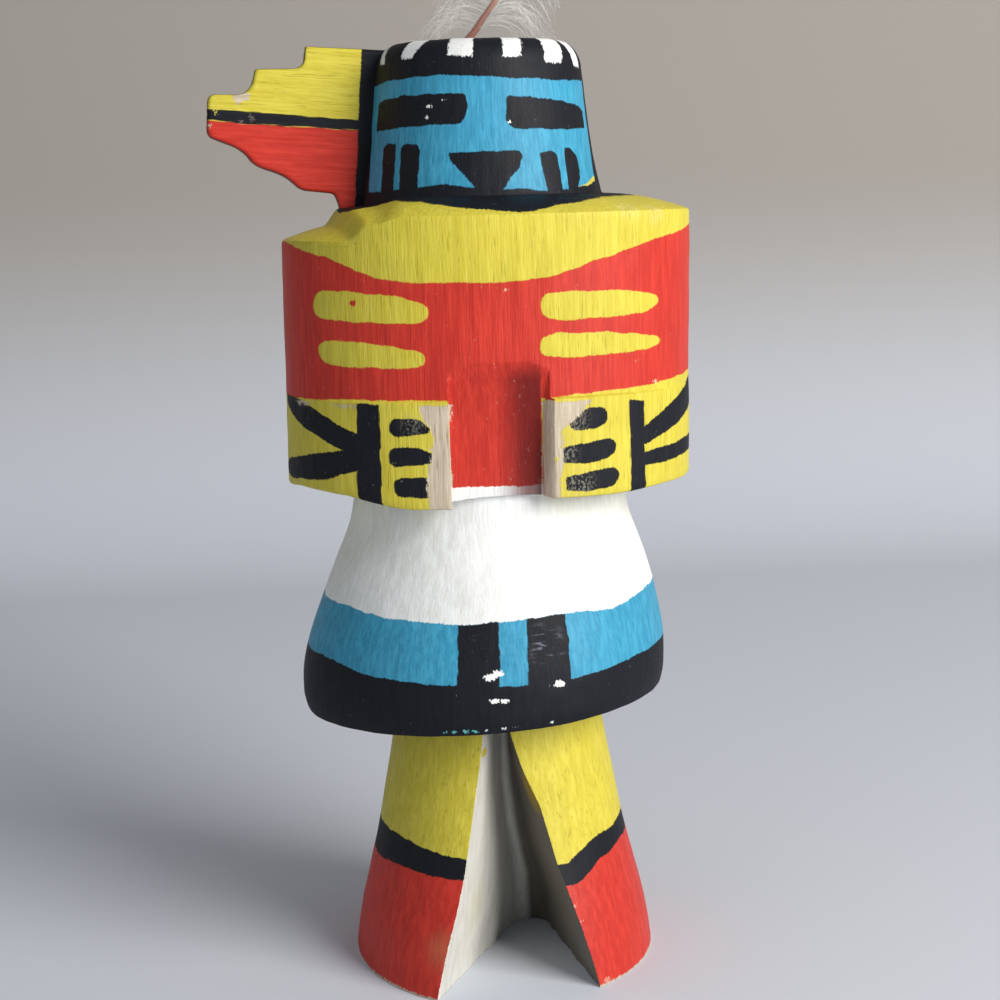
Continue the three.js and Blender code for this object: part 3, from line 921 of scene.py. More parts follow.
@dataclass(frozen=True)
class SkirtPaint:
    """The kilt: white, then a blue border with two black bars, over a black hem."""

    per_degree: float = math.radians(28.5)
    border: tuple[Pair, ...] = ((-180, 62.2), (-80, 62.0), (-59, 62.2), (-44, 61.6), (-15, 61.2), (-3, 61.5),
                                (8, 61.9), (21, 62.0), (40, 61.5), (60, 62.6), (72, 62.8), (180, 62.2))
    hem: tuple[Pair, ...] = (
        (-180, 53.4), (-82, 53.5), (-60, 53.8), (-46, 52.8), (-32, 52.5), (-16, 52.3), (-2, 52.1),
        (9, 51.8), (23, 52.2), (36, 52.8), (51, 53.4), (71, 53.7), (180, 53.4),
    )
    bars: tuple[tuple[Pair, ...], ...] = (((-15.2, 66), (-2, 66), (-2.6, 48), (-14.8, 48)),
                                          ((7.4, 66), (20.4, 66), (19.4, 48), (5.4, 48)))
    white_chips: tuple[tuple[Triple, float], ...] = (((-2.7, -29.5, 53.4), 1.0), ((-1.6, -29.7, 53.9), 0.8),
                                                     ((8.1, -28.4, 51.6), 0.9), ((-2.1, -30.2, 49.8), 0.7),
                                                     ((-0.8, -30.1, 49.7), 0.6))
    teal_chips: tuple[tuple[Triple, float], ...] = (((-9.8, -28.4, 44.9), 0.45), ((-8.4, -28.9, 44.9), 0.4),
                                                    ((-6.7, -29.3, 45.0), 0.5), ((-5.2, -29.5, 45.1), 0.4),
                                                    ((-4.8, -27.1, 59.5), 0.4))
    hem_chips: tuple[tuple[Triple, float], ...] = (((-3.6, -29.7, 45.1), 0.3), ((-0.8, -29.7, 45.3), 0.35),
                                                   ((1.0, -29.6, 45.4), 0.3), ((6.6, -28.6, 45.6), 0.3))
    rubbed_bar: tuple[tuple[Triple, float], ...] = (((6.2, -28.0, 58.0), 2.6), ((-3.8, -28.6, 59.4), 0.8))

    def material(self, place: Place) -> bpy.types.Material:
        """The finish on the kilt.

        Args:
            place: the doll's axes in the frame.

        Returns:
            The material.
        """
        wood = PaintedWood("kilt_paint", Paint.WHITE, place, (0.8, 0.8, 6.0))
        u, v = wood.wrap(self.per_degree)
        degrees = u / self.per_degree
        border = v - wood.tree.line(degrees, self.border)
        wood.coat(Paint.BLUE, wood.inside(border))
        bars = wood.shapes(u, v, self.bars, self.per_degree, 0.2).most(border)
        hem = v - wood.tree.line(degrees, self.hem)
        wood.coat(Paint.BLACK, wood.inside(bars.least(hem)))
        wood.coat(Paint.WHITE, wood.spots(self.white_chips))
        wood.tone(wood.spots(self.teal_chips), Tint(96, 168, 168))
        wood.tone(wood.spots(self.hem_chips), Tint(206, 212, 212))
        for mark in self.rubbed_bar:
            wood.tone(wood.glow(mark, 1.6) * wood.cloth.rise(0.52, 0.66) * 0.6, Tint(122, 128, 140))
        wood.rub(0.5, 0.8)
        wood.scuff(Tint(188, 190, 190), 0.68, 0.78, 0.4)
        return wood.finish(0.06)


@dataclass(frozen=True)
class LegPaint:
    """The legs: yellow, a black garter and red boots."""

    garter_top: tuple[Pair, ...] = ((-180, 22), (-90, 22.8), (-57, 22.8), (-36, 22.0), (-18, 21.2), (0, 20.4),
                                    (26, 19.7), (40, 22.2), (72, 23), (120, 22.5), (180, 22))
    garter_bottom: tuple[Pair, ...] = (
        (-180, 17.8), (-89, 17.5), (-53, 18.3), (-20, 18.1), (0, 17), (28, 16.2), (43, 18.8), (67, 19.9),
        (120, 18.6), (180, 17.8),
    )
    rubbed: tuple[Triple, float] = ((-11.5, -24.0, 7.5), 2.2)
    chipped: tuple[tuple[Triple, float], ...] = (((10.3, -22.2, 13.2), 0.5), ((11.4, -22.6, 10.6), 0.35),
                                                 ((15.6, -23.5, 0.8), 0.9))

    def material(self, place: Place) -> bpy.types.Material:
        """The finish on the legs.

        Args:
            place: the doll's axes in the frame.

        Returns:
            The material.
        """
        wood = PaintedWood("leg_paint", Paint.YELLOW, place, (0.8, 0.8, 7.0))
        u, v = wood.wrap(1.0)
        degrees = u
        wood.coat(Paint.BLACK, wood.inside(v - wood.tree.line(degrees, self.garter_top)))
        wood.coat(Paint.RED, wood.inside(v - wood.tree.line(degrees, self.garter_bottom)))
        wood.tone(wood.glow(self.rubbed, 2.4) * 0.35, Tint(176, 128, 84))
        wood.tone(wood.spots(self.chipped) * 0.7, Tint(206, 150, 132))
        wood.coat(Paint.BARE, (0.35 - wood.z + (wood.groove - 0.5) * 1.2).rise(-0.1, 0.1), -0.03)
        wood.rub(0.42, 0.75)
        return wood.finish(0.06)


@dataclass(frozen=True)
class LegCutPaint:
    """The knife-cut faces between the legs: thin gesso over wood, stained yellow beside the right shin, with
    painted shade on the right leg's face.
    """

    stain: tuple[Triple, float] = ((4.4, -16.6, 31.0), 3.6)
    spill: tuple[tuple[Triple, float], ...] = (((-3.2, -16.0, 37.6), 1.3),)
    damp: tuple[Triple, float] = ((-5.0, -15.0, 11.0), 3.0)
    root: tuple[Pair, ...] = ((-1, 5.4), (10, 4.6), (20, 2.6), (29, 1.4), (35, 0.9), (44, 0.6))  # (height, x)

    def material(self, place: Place) -> bpy.types.Material:
        """The finish on the cut faces.

        Args:
            place: the doll's axes in the frame.

        Returns:
            The material.
        """
        wood = PaintedWood("cut_gesso", Paint.GESSO, place, (1.2, 1.2, 8.0))
        # Painted shade: the right leg's inner face, past the cut's root, is darkened where the right leg
        # keeps the light off it
        shaded_face = wood.x - wood.tree.line(wood.z, self.root)
        wood.tone(shaded_face.rise(-0.6, 0.9) * 0.88, Tint(74, 65, 54))
        wood.tone(wood.glow(self.stain, 1.6) * 0.85, Tint(150, 126, 30))
        wood.coat(Paint.YELLOW, wood.spots(self.spill))
        wood.tone(wood.glow(self.damp, 3.0) * 0.35, Tint(186, 184, 140))
        return wood.finish(0.06, 0.3)


@dataclass(frozen=True)
class HandCutPaint:
    """The bare wood at the cut ends of the hands."""

    def material(self, place: Place) -> bpy.types.Material:
        """The finish on the hands' ends.

        Args:
            place: the doll's axes in the frame.

        Returns:
            The material.
        """
        wood = PaintedWood("hand_wood", Paint.BARE, place, (0.5, 0.5, 6.0))
        wood.coat(Paint.RED, (wood.y + 24.1 + (wood.groove - 0.5) * 0.8).rise(-0.2, 0.2), 0.0)
        wood.coat(Paint.RED, (wood.z - 95.2 + (wood.speck - 0.5) * 0.5).rise(-0.1, 0.1), 0.0)
        return wood.finish(0.09, 0.3)


@dataclass(frozen=True)
class WingPaint:
    """The board: yellow above a black stripe and red below it, black at its root, its edges toned dark partly
    as painted shade.
    """

    stripe_top: tuple[Pair, ...] = ((-10, -11.3), (1, -11.2), (9, -11.1), (17, -11.0), (25, -10.9))
    stripe_bottom: tuple[Pair, ...] = ((-10, -12.9), (1, -12.8), (9, -12.8), (17, -12.9), (25, -12.7))
    bare_spots: tuple[tuple[Triple, float], ...] = (((19.0, -8.8, -1.9), 0.9), ((17.9, -8.7, -1.9), 0.6),
                                                    ((23.4, -13.6, -1.9), 0.3))
    dots: tuple[tuple[Triple, float], ...] = (((22.6, -11.3, -1.9), 0.3),)
    nicks: tuple[tuple[Triple, float], ...] = (((16.8, -12.0, -1.9), 0.32), ((18.5, -12.7, -1.9), 0.25),
                                               ((17.2, -11.6, -1.9), 0.2))

    def material(self, _: Place) -> bpy.types.Material:
        """The finish on the board, which reads the places kept at its vertices.

        Returns:
            The material.
        """
        wood = PaintedWood("board_paint", Paint.YELLOW, HeadWing.BOARD_PLACE, (8.0, 0.55, 1.5), 0.14)
        u, v = wood.x + wood.stray[0], wood.y + wood.stray[1]
        wood.coat(Paint.RED, wood.inside(v - wood.tree.line(u, self.stripe_bottom)))
        stripe = (v - wood.tree.line(u, self.stripe_top)).most(wood.tree.line(u, self.stripe_bottom) - v)
        wood.coat(Paint.BLACK, wood.inside(stripe.least(u + 0.05)))
        wood.coat(Paint.BARE, wood.spots(self.bare_spots))
        wood.coat(Paint.YELLOW, wood.spots(self.dots))
        wood.tone(wood.spots(self.nicks) * 0.3, Tint(150, 140, 128))
        # The board's edge faces are toned dark brown: partly painted shade on the edges turned from the
        # light, partly darker paint on them
        side = wood.tree.node("ShaderNodeAttribute", {"attribute_name": HeadWing.BOARD_SIDE}, {}, "Fac")
        wood.tone(side.rise(0.35, 0.8) * 0.72, Tint(52, 40, 24))
        wood.rub(0.5, 0.8)
        return wood.finish(0.08)


@dataclass(frozen=True)
class FeatherFinish:
    """Horn or down: one pale colour that darkens towards a foot."""

    name: str
    tip: Tint
    foot: Tint
    fade: Pair  # mm above the table between which the foot's colour goes
    roughness: float
    alpha: float = 1.0

    def material(self, _: Place) -> bpy.types.Material:
        """The finish on the feather.

        Returns:
            The material.
        """
        tree = Tree(self.name)
        where = tree.node("ShaderNodeTexCoord", {}, {}, "Object")
        where = tree.vector("MULTIPLY", where, (1 / MM, 1 / MM, 1 / MM))
        height = tree.split(where)[2]
        cloud = tree.noise(where, (0.6, 0.6, 1.8), 2.0)
        colour = tree.mix(height.rise(*self.fade), self.foot, self.tip)
        colour = tree.mix((cloud - 0.5).rise(0.0, 0.3) * 0.3, colour, self.foot)
        rough = cloud * 0.2 + (self.roughness - 0.1)
        values = {"Base Color": colour, "Roughness": rough, "Specular IOR Level": 0.3, "Sheen Weight": 0.3,
                  "Alpha": self.alpha}
        surface = tree.node("ShaderNodeBsdfPrincipled", {}, values)
        tree.node("ShaderNodeOutputMaterial", {}, {"Surface": surface})
        return tree.material


# ---- The figure ------------------------------------------------------------------------------


class Part(Enum):
    """The stretches of the figure's skin from the sole up, each with the number of its finish."""

    SOLE = ("sole", 0)
    LEGS = ("legs", 0)
    HEM = ("hem", 1)
    KILT = ("kilt", 1)
    LEDGE = ("ledge", 2)
    BLOCK = ("block", 2)
    SHOULDER = ("shoulder", 2)
    MASK = ("mask", 3)
    CROWN = ("crown", 3)
    LEG_CUT = ("leg_cut", 4)
    HAND_CUT = ("hand_cut", 5)

    @property
    def finish(self) -> int:
        """The number of its finish."""
        return self.value[1]


@dataclass
class Figure:
    """The carved body: legs, kilt, arms-and-chest block and mask in one piece of wood."""

    place: Place
    half_width: float = 33.0
    arm_depth: float = 27.0
    chest_depth: float = 26.3
    squareness: float = 2.15
    edge: float = 0.6
    kilt_bottom: float = 44.0
    block_bottom: float = 80.4
    sleeve_hem: float = 95.45
    shoulder: float = 126.0
    rim_start: float = 145.5
    crown: float = 150.0
    rim_across: float = 3.5
    leg_profile: tuple[Pair, ...] = ((25.2, 0), (24, 8), (20.9, 20.6), (18.3, 34.4), (16.9, 44))
    kilt_profile: tuple[Pair, ...] = (
        (29.7, 44), (30.2, 46.8), (29.8, 53), (26.9, 63.6), (23.1, 74), (22.4, 80.4),
    )
    mask_profile: tuple[Pair, ...] = ((19.5, 126), (18.1, 132.5), (17.1, 140), (16.5, 145.5))
    shoulder_drop: float = 2.6
    shoulder_power: float = 1.9
    legs_off_axis: float = 0.5
    feet_forward: Triple = (0.2, 0.14, 1.6)  # the left foot's and right foot's share, and the power
    block_lean: float = 0.6  # how far aside the block's top leans
    lean: Triple = (1.8, 0.048, 0.5)  # how far aside the kilt leans, its hem's slope and its rise
    lean_heights: Pair = (47.0, 72.0)
    hands: Triple = (1.5, 0.7, 0.4)  # the right hand's drop, its elbow's rise and the left hand's drop
    seat: Triple = (1.1, 13.5, 18.0)  # the depth pared off under the board, and from where to where
    shoulder_cut: tuple[float, float, float, float] = (2.3, 24.6, 19.2, 2.6)
    leg_cuts: tuple[tuple[float, Pair, Pair, Pair, float], ...] = (
        (-1, (-16.4, -34), (16.3, -35), (5.4, 4.1), 3.3), (10, (-14.5, -34), (13.7, -35), (4.6, 0), 2.4),
        (20, (-12.7, -34), (10.7, -35), (2.6, -4), 1.6), (29, (-11.3, -34), (8.9, -35), (1.4, -6.2), 1.2),
        (35, (-10.8, -34), (4.6, -35), (0.9, -7.7), 0.85),
        (43.95, (-10.8, -34), (-1.3, -35), (0.6, -9.4), 0.45),
    )  # the cut's plans: the height, its mouth's two ends, and its root's middle and radius
    hollow_left: tuple[Pair, ...] = ((-23, -7.6), (-26, -7.6), (-26.6, -7.8), (-26.9, -8.1), (-27, -8.6),
                                     (-54, -11.6))
    hollow_right: tuple[Pair, ...] = (
        (-23.4, 6.6), (-24.86, 7.03), (-26.03, 7.93), (-26.91, 9.28), (-27.5, 11.1), (-54, 14.6),
    )
    hollow_floor: tuple[Pair, ...] = (
        (23.4, 76), (23.4, 85), (23.6, 88), (23.95, 91.2), (24.6, 95), (25.35, 98.2), (26.2, 101),
        (27.2, 103),
    )
    hole: tuple[Triple, float, float] = ((-2.2, 0.0, 150.0), 1.0, 40.0)
    front_step: float = 1.05  # degrees between columns, in front
    back_step: float = 2.3
    front_reach: float = 100.0
    pitch: float = 0.56

    @classmethod
    def left_reach(cls) -> float:
        """How far the block reaches to the doll's left of the axis, at the top of its side."""
        rise = cls.shoulder - cls.shoulder_drop - cls.edge - cls.block_bottom
        return cls.half_width + cls.block_lean * rise / (cls.shoulder - cls.block_bottom)

    def columns(self) -> np.ndarray:
        """The directions of the skin's columns, in radians from the front towards the doll's left."""
        reach = self.front_reach
        front = np.linspace(-reach, reach, round(2 * reach / self.front_step), endpoint=False)
        back = np.linspace(reach, 360 - reach, round((360 - 2 * reach) / self.back_step), endpoint=False)
        return np.radians(np.concatenate([front, back]))

    @staticmethod
    def level(start: float, end: float, z: float, pitch: float) -> np.ndarray:
        """(radius, height) rows of a flat ring, pitch mm apart from one radius towards another."""
        radius = np.arange(start, end, math.copysign(pitch, end - start))
        return np.column_stack([radius, np.full(len(radius), z)])

    def rows(self) -> list[tuple[Part, np.ndarray]]:
        """The skin's stretches, each with its (radius, height) rows, the end left to the next one."""
        side, edge = self.half_width, self.edge
        upright = [self.block_bottom + edge, self.sleeve_hem - 0.3, self.sleeve_hem + 0.3,
                   self.shoulder - self.shoulder_drop - edge]
        block = [(side - edge, self.block_bottom), (side - 0.25 * edge, self.block_bottom + 0.25 * edge)]
        for low, high, pitch in ((upright[0], upright[1], self.pitch), (upright[1], upright[2], 0.12),
                                 (upright[2], upright[3], self.pitch)):
            steps = max(1, round((high - low) / pitch))
            block += [(side, lerp(low, high, i / steps)) for i in range(steps)]
        reach = np.linspace(1, 0, 23)[:-1]
        radius = lerp(self.mask_profile[0][0], side - edge, reach)
        slope = np.column_stack([radius, self.shoulder - self.shoulder_drop * reach**self.shoulder_power])
        edge_rows = [(side, upright[3]), (side - 0.2 * edge, upright[3] + 0.75 * edge)]
        turn = np.linspace(0, math.pi / 2, 13)
        rim = np.column_stack([self.mask_profile[-1][0] - self.rim_across * (1 - np.cos(turn)),
                               self.rim_start + (self.crown - self.rim_start) * np.sin(turn)])
        return [
            (Part.SOLE, self.level(1.5, self.leg_profile[0][0], 0.0, 1.8)),
            (Part.LEGS, curve_through(self.leg_profile, self.pitch)[:-1]),
            (Part.HEM, self.level(self.leg_profile[-1][0], self.kilt_profile[0][0], self.kilt_bottom, 0.9)),
            (Part.KILT, curve_through(self.kilt_profile, 0.5)[:-1]),
            (Part.LEDGE, self.level(self.kilt_profile[-1][0], side - edge, self.block_bottom, 0.9)),
            (Part.BLOCK, np.array(block)),
            (Part.SHOULDER, np.vstack([edge_rows, slope])),
            (Part.MASK, np.vstack([curve_through(self.mask_profile, 0.45)[:-1], rim[:-1]])),
            (Part.CROWN, self.level(rim[-1, 0], 0.9, self.crown, 0.75)),
        ]

    def plan_radius(self, angle: np.ndarray, depth: np.ndarray) -> np.ndarray:
        """The block's radius in some directions: a blunt oval, depth mm from its middle to its front."""
        across, deep = np.abs(np.sin(angle)) / self.half_width, np.abs(np.cos(angle)) / depth
        return (across**self.squareness + deep**self.squareness) ** (-1 / self.squareness)

    def pared(self, x: np.ndarray, y: np.ndarray) -> np.ndarray:
        """How far the shoulder is cut down at some places."""
        depth, at_side, at_front, slope = self.shoulder_cut
        wall = lerp(at_side, at_front, np.minimum(1, np.abs(y) / self.arm_depth))
        low, start, end = self.seat
        return low * smooth(-x, start, end) + depth * smooth(-x, wall - slope / 2, wall + slope / 2)

    def hung(self, x: np.ndarray, y: np.ndarray) -> np.ndarray:
        """How much lower than the block's bottom some places under the forearms are."""
        drop, rise, other = self.hands
        right = drop * smooth(-x, -2, 8) * (1 - smooth(-x, 13, 24))
        right = right - rise * smooth(-x, 19, 28) * smooth(-y, 2, 10)
        return (y < 0) * (right + other * smooth(x, 2, 8) * (1 - smooth(x, 16, 28)))

    def shaped(self, part: Part, radius: np.ndarray, z: np.ndarray, angle: np.ndarray) -> np.ndarray:
        """Places on one stretch of the skin.

        Args:
            part: the stretch.
            radius: the radius of the round blank there, one row each.
            z: the height there.
            angle: the columns' directions.

        Returns:
            The places, with the axes last.
        """
        radius, z, angle = np.broadcast_arrays(radius[:, None], z[:, None], angle[None, :])
        reach = np.zeros_like(radius)
        if part in (Part.LEDGE, Part.BLOCK, Part.SHOULDER):
            core = self.mask_profile[0][0] if part is Part.SHOULDER else self.kilt_profile[-1][0]
            reach = (radius - core) / (self.half_width - core)
            above = smooth(z, self.sleeve_hem - 0.2, self.sleeve_hem + 0.2)
            depth = lerp(self.arm_depth, self.chest_depth, above)
            radius = lerp(core, self.plan_radius(angle, depth), reach)
        x, y = radius * np.sin(angle), -radius * np.cos(angle)
        x = x + self.block_lean * reach * (z - self.block_bottom) / (self.shoulder - self.block_bottom)
        if part in (Part.SOLE, Part.LEGS):
            return np.stack(self.leg_shape(x, y, z), axis=-1)
        if part is Part.HEM:
            top, hem = self.leg_profile[-1][0], self.kilt_profile[0][0]
            share = (radius - top) / (hem - top)
            start = self.leg_shape(top * np.sin(angle), -top * np.cos(angle), z)
            end = self.kilt_shape(hem * np.sin(angle), -hem * np.cos(angle), z)
            return np.stack([lerp(a, b, share) for a, b in zip(start, end)], axis=-1)
        if part is Part.KILT:
            return np.stack(self.kilt_shape(x, y, z), axis=-1)
        if part in (Part.LEDGE, Part.BLOCK):
            z = z - self.hung(x, y) * np.clip(reach, 0, 1) * np.clip((88 - z) / 7, 0, 1)
        top_of_side = self.shoulder - self.shoulder_drop - self.edge
        weight = {Part.BLOCK: smooth(z, top_of_side - 4, top_of_side), Part.SHOULDER: 1.0,
                  Part.MASK: 1 - smooth(z, self.shoulder, self.shoulder + 2.7)}.get(part, 0.0)
        return np.stack([x, y, z - weight * self.pared(x, y)], axis=-1)

    def leg_shape(self, x: np.ndarray, y: np.ndarray, z: np.ndarray) -> tuple[np.ndarray, ...]:
        """Round legs moved off the axis, with the feet drawn forward."""
        left, right, power = self.feet_forward
        half = self.leg_profile[0][0] / 2
        most = lerp(left, right, smooth(x, -half, half))
        forward = 1 + most * (1 - z / self.kilt_bottom) ** power
        return x + self.legs_off_axis, np.where(y < 0, y * forward, y), z

    def kilt_shape(self, x: np.ndarray, y: np.ndarray, z: np.ndarray) -> tuple[np.ndarray, ...]:
        """A round kilt leant aside, with its hem sloped."""
        aside, slope, rise = self.lean
        share = 1 - smooth(z, *self.lean_heights)
        return x - share * aside, y, z + share * (rise + slope * x)

    def skin(self) -> bpy.types.Object:
        """The body before it is cut, as one closed mesh."""
        angle = self.columns()
        count = len(angle)
        grids, parts = [], []
        for part, rows in self.rows():
            grids.append(self.shaped(part, rows[:, 0], rows[:, 1], angle).reshape(-1, 3))
            parts += [part] * len(rows)
        points = np.vstack([*grids, [(self.legs_off_axis, 0, 0), (0, 0, self.crown)]])
        sole, top = len(points) - 2, len(points) - 1
        last = (len(parts) - 1) * count
        faces, finishes = [], []
        for i in range(count):
            j = (i + 1) % count
            faces += [[j, i, sole], [last + i, last + j, top]]
            finishes += [parts[0].finish, parts[-1].finish]
            for row in range(len(parts) - 1):
                low, high = row * count, (row + 1) * count
                faces.append([low + i, low + j, high + j, high + i])
                finishes.append(parts[row].finish)
        made = mesh_object("painted_figure", self.place.metres(points), faces)
        made.data.polygons.foreach_set("material_index", finishes)
        return made

    def roughen(self, made: bpy.types.Object) -> None:
        """Gives the skin the unevenness of whittled and sanded wood."""
        mesh = made.data
        points = self.place.millimetres(mesh_points(mesh))
        broad, fine, ridges = Grain(SEED), Grain(SEED + 1), Grain(SEED + 2)
        height = 0.10 * broad.at(points, (9, 9, 9)) + 0.05 * fine.at(points, (2.6, 2.6, 2.6))
        height += 0.035 * ridges.at(points, (0.9, 0.9, 14))
        height *= smooth(points[:, 2], 0.05, 0.8)
        set_points(mesh, self.place.metres(points + mesh_normals(mesh) * height[:, None]))

    @staticmethod
    def leg_plan(left: np.ndarray, right: np.ndarray, root: np.ndarray, radius: float) -> np.ndarray:
        """The leg cut's outline at one height.

        Args:
            left: the left end of its mouth.
            right: the right end.
            root: the middle of its rounded root.
            radius: the root's radius.

        Returns:
            The outline's points, anticlockwise from the mouth's left end.
        """
        turns = []
        for end, side in ((right, 1), (left, -1)):
            away = end - root
            touch = math.atan2(away[1], away[0]) + side * math.acos(radius / math.hypot(*away))
            turns.append(touch if touch > -math.pi / 2 else touch + 2 * math.pi)
        turn = np.linspace(*turns, 17)
        arc = root + radius * np.column_stack([np.cos(turn), np.sin(turn)])
        mouth = lerp(left, right, np.linspace(0, 1, 31)[:-1, None])
        rising = lerp(right, arc[0], np.linspace(0, 1, 49)[:-1, None])
        falling = lerp(arc[-1], left, np.linspace(0, 1, 49)[:-1, None])
        return np.vstack([mouth, rising, arc[:-1], falling])

    def leg_cutter(self) -> bpy.types.Object:
        """The V between the legs, drawn from each of its plans to the next."""
        heights = [plan[0] for plan in self.leg_cuts]
        sizes = np.array([[*left, *right, *root, radius] for _, left, right, root, radius in self.leg_cuts])
        rings = []
        for z in np.linspace(heights[0], heights[-1], 56):
            at = np.array([np.interp(z, heights, column) for column in sizes.T])
            ring = self.leg_plan(at[0:2], at[2:4], at[4:6], at[6])
            rings.append(np.column_stack([ring, np.full(len(ring), z)]))
        return self.cutter("leg_knife", rings, Part.LEG_CUT, Grain(SEED + 3), (4, 4, 12), 0.22)

    def hand_cutter(self) -> bpy.types.Object:
        """The hollow between the hands, whose floor runs out upwards."""
        depth, height = np.array(self.hollow_floor).T
        sides = [np.array(side).T for side in (self.hollow_left, self.hollow_right)]
        rings = []
        for z in np.arange(76.5, 103, 0.5):
            back = -np.interp(z, height, depth)
            y = lerp(back, -36.0, np.linspace(0, 1, 26))
            left, right = (np.column_stack([np.interp(-y, -side[0], side[1]), y]) for side in sides)
            floor = lerp(right[0], left[0], np.linspace(0, 1, 24)[1:-1, None])
            mouth = lerp(left[-1], right[-1], np.linspace(0, 1, 6)[1:-1, None])
            ring = np.vstack([left, mouth, right[::-1], floor])
            rings.append(np.column_stack([ring, np.full(len(ring), z)]))
        made = self.cutter("hand_knife", rings, Part.HAND_CUT, Grain(SEED + 4), (3, 3, 7), 0.12)
        centres = np.empty(len(made.data.polygons) * 3)
        made.data.polygons.foreach_get("center", centres)
        x, y, z = self.place.millimetres(centres.reshape(-1, 3)).T
        on_floor = (y > -np.interp(z, height, depth) - 0.25)
        finishes = np.where(on_floor, Part.BLOCK.finish, Part.HAND_CUT.finish)
        made.data.polygons.foreach_set("material_index", finishes.astype(np.int32))
        return made

    def hole_cutter(self) -> bpy.types.Object:
        """The plume's hole in the crown."""
        centre, radius, lean = self.hole
        lean = math.radians(lean)
        along = np.array([math.sin(lean), 0, math.cos(lean)])
        across = np.array([math.cos(lean), 0, -math.sin(lean)])
        turn = np.linspace(0, 2 * math.pi, 24, endpoint=False)[:, None]
        ring = radius * (np.cos(turn) * across + np.sin(turn) * np.array([0.0, 1, 0]))
        rings = [np.array(centre) + ring + along * step for step in (-4, 0, 4)]
        return self.cutter("plume_knife", rings, Part.MASK, Grain(SEED + 5), (1, 1, 1), 0.03)

    def cutter(self, name: str, rings: Sequence[np.ndarray], part: Part, grain: Grain, pitch: Triple,
               unevenness: float) -> bpy.types.Object:
        """A closed body to cut with.

        Args:
            name: the object's name.
            rings: its rings from the bottom up.
            part: the stretch whose finish the cut faces get.
            grain: the noise of the cut.
            pitch: the size of the noise along each axis, in mm.
            unevenness: the noise's height, in mm.

        Returns:
            The object.
        """
        points, faces = loft(rings)
        for axis in range(2):
            points[:, axis] += unevenness * grain.at(points + 31.7 * axis, pitch)
        made = mesh_object(name, self.place.metres(points), faces)
        made.data.polygons.foreach_set("material_index", [part.finish] * len(faces))
        return made

    def dress(self, made: bpy.types.Object) -> None:
        """Gives each stretch of the skin its finish."""
        finishes = (LegPaint(), SkirtPaint(), BlockPaint(), MaskPaint(), LegCutPaint(), HandCutPaint())
        for slot, finish in enumerate(finishes):
            made.material_slots[slot].material = finish.material(self.place)

    def build(self) -> bpy.types.Object:
        """Makes the figure, cuts it, wears its edges and paints it."""
        made = self.skin()
        self.roughen(made)
        cutters = (self.leg_cutter(), self.hand_cutter(), self.hole_cutter())
        for item in (made, *cutters):
            give_slots(item, Part.HAND_CUT.finish + 1)
        cut(made, *cutters)
        wear(made, 0.10, 0.34, 2)
        blunt(made, 2, 0.10)
        low, high = (np.array(corner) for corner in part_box("figure"))
        set_points(made.data, np.clip(mesh_points(made.data), low, high))
        shade(made, 38)
        self.dress(made)
        return made


# ---- The board on the head -------------------------------------------------------------------


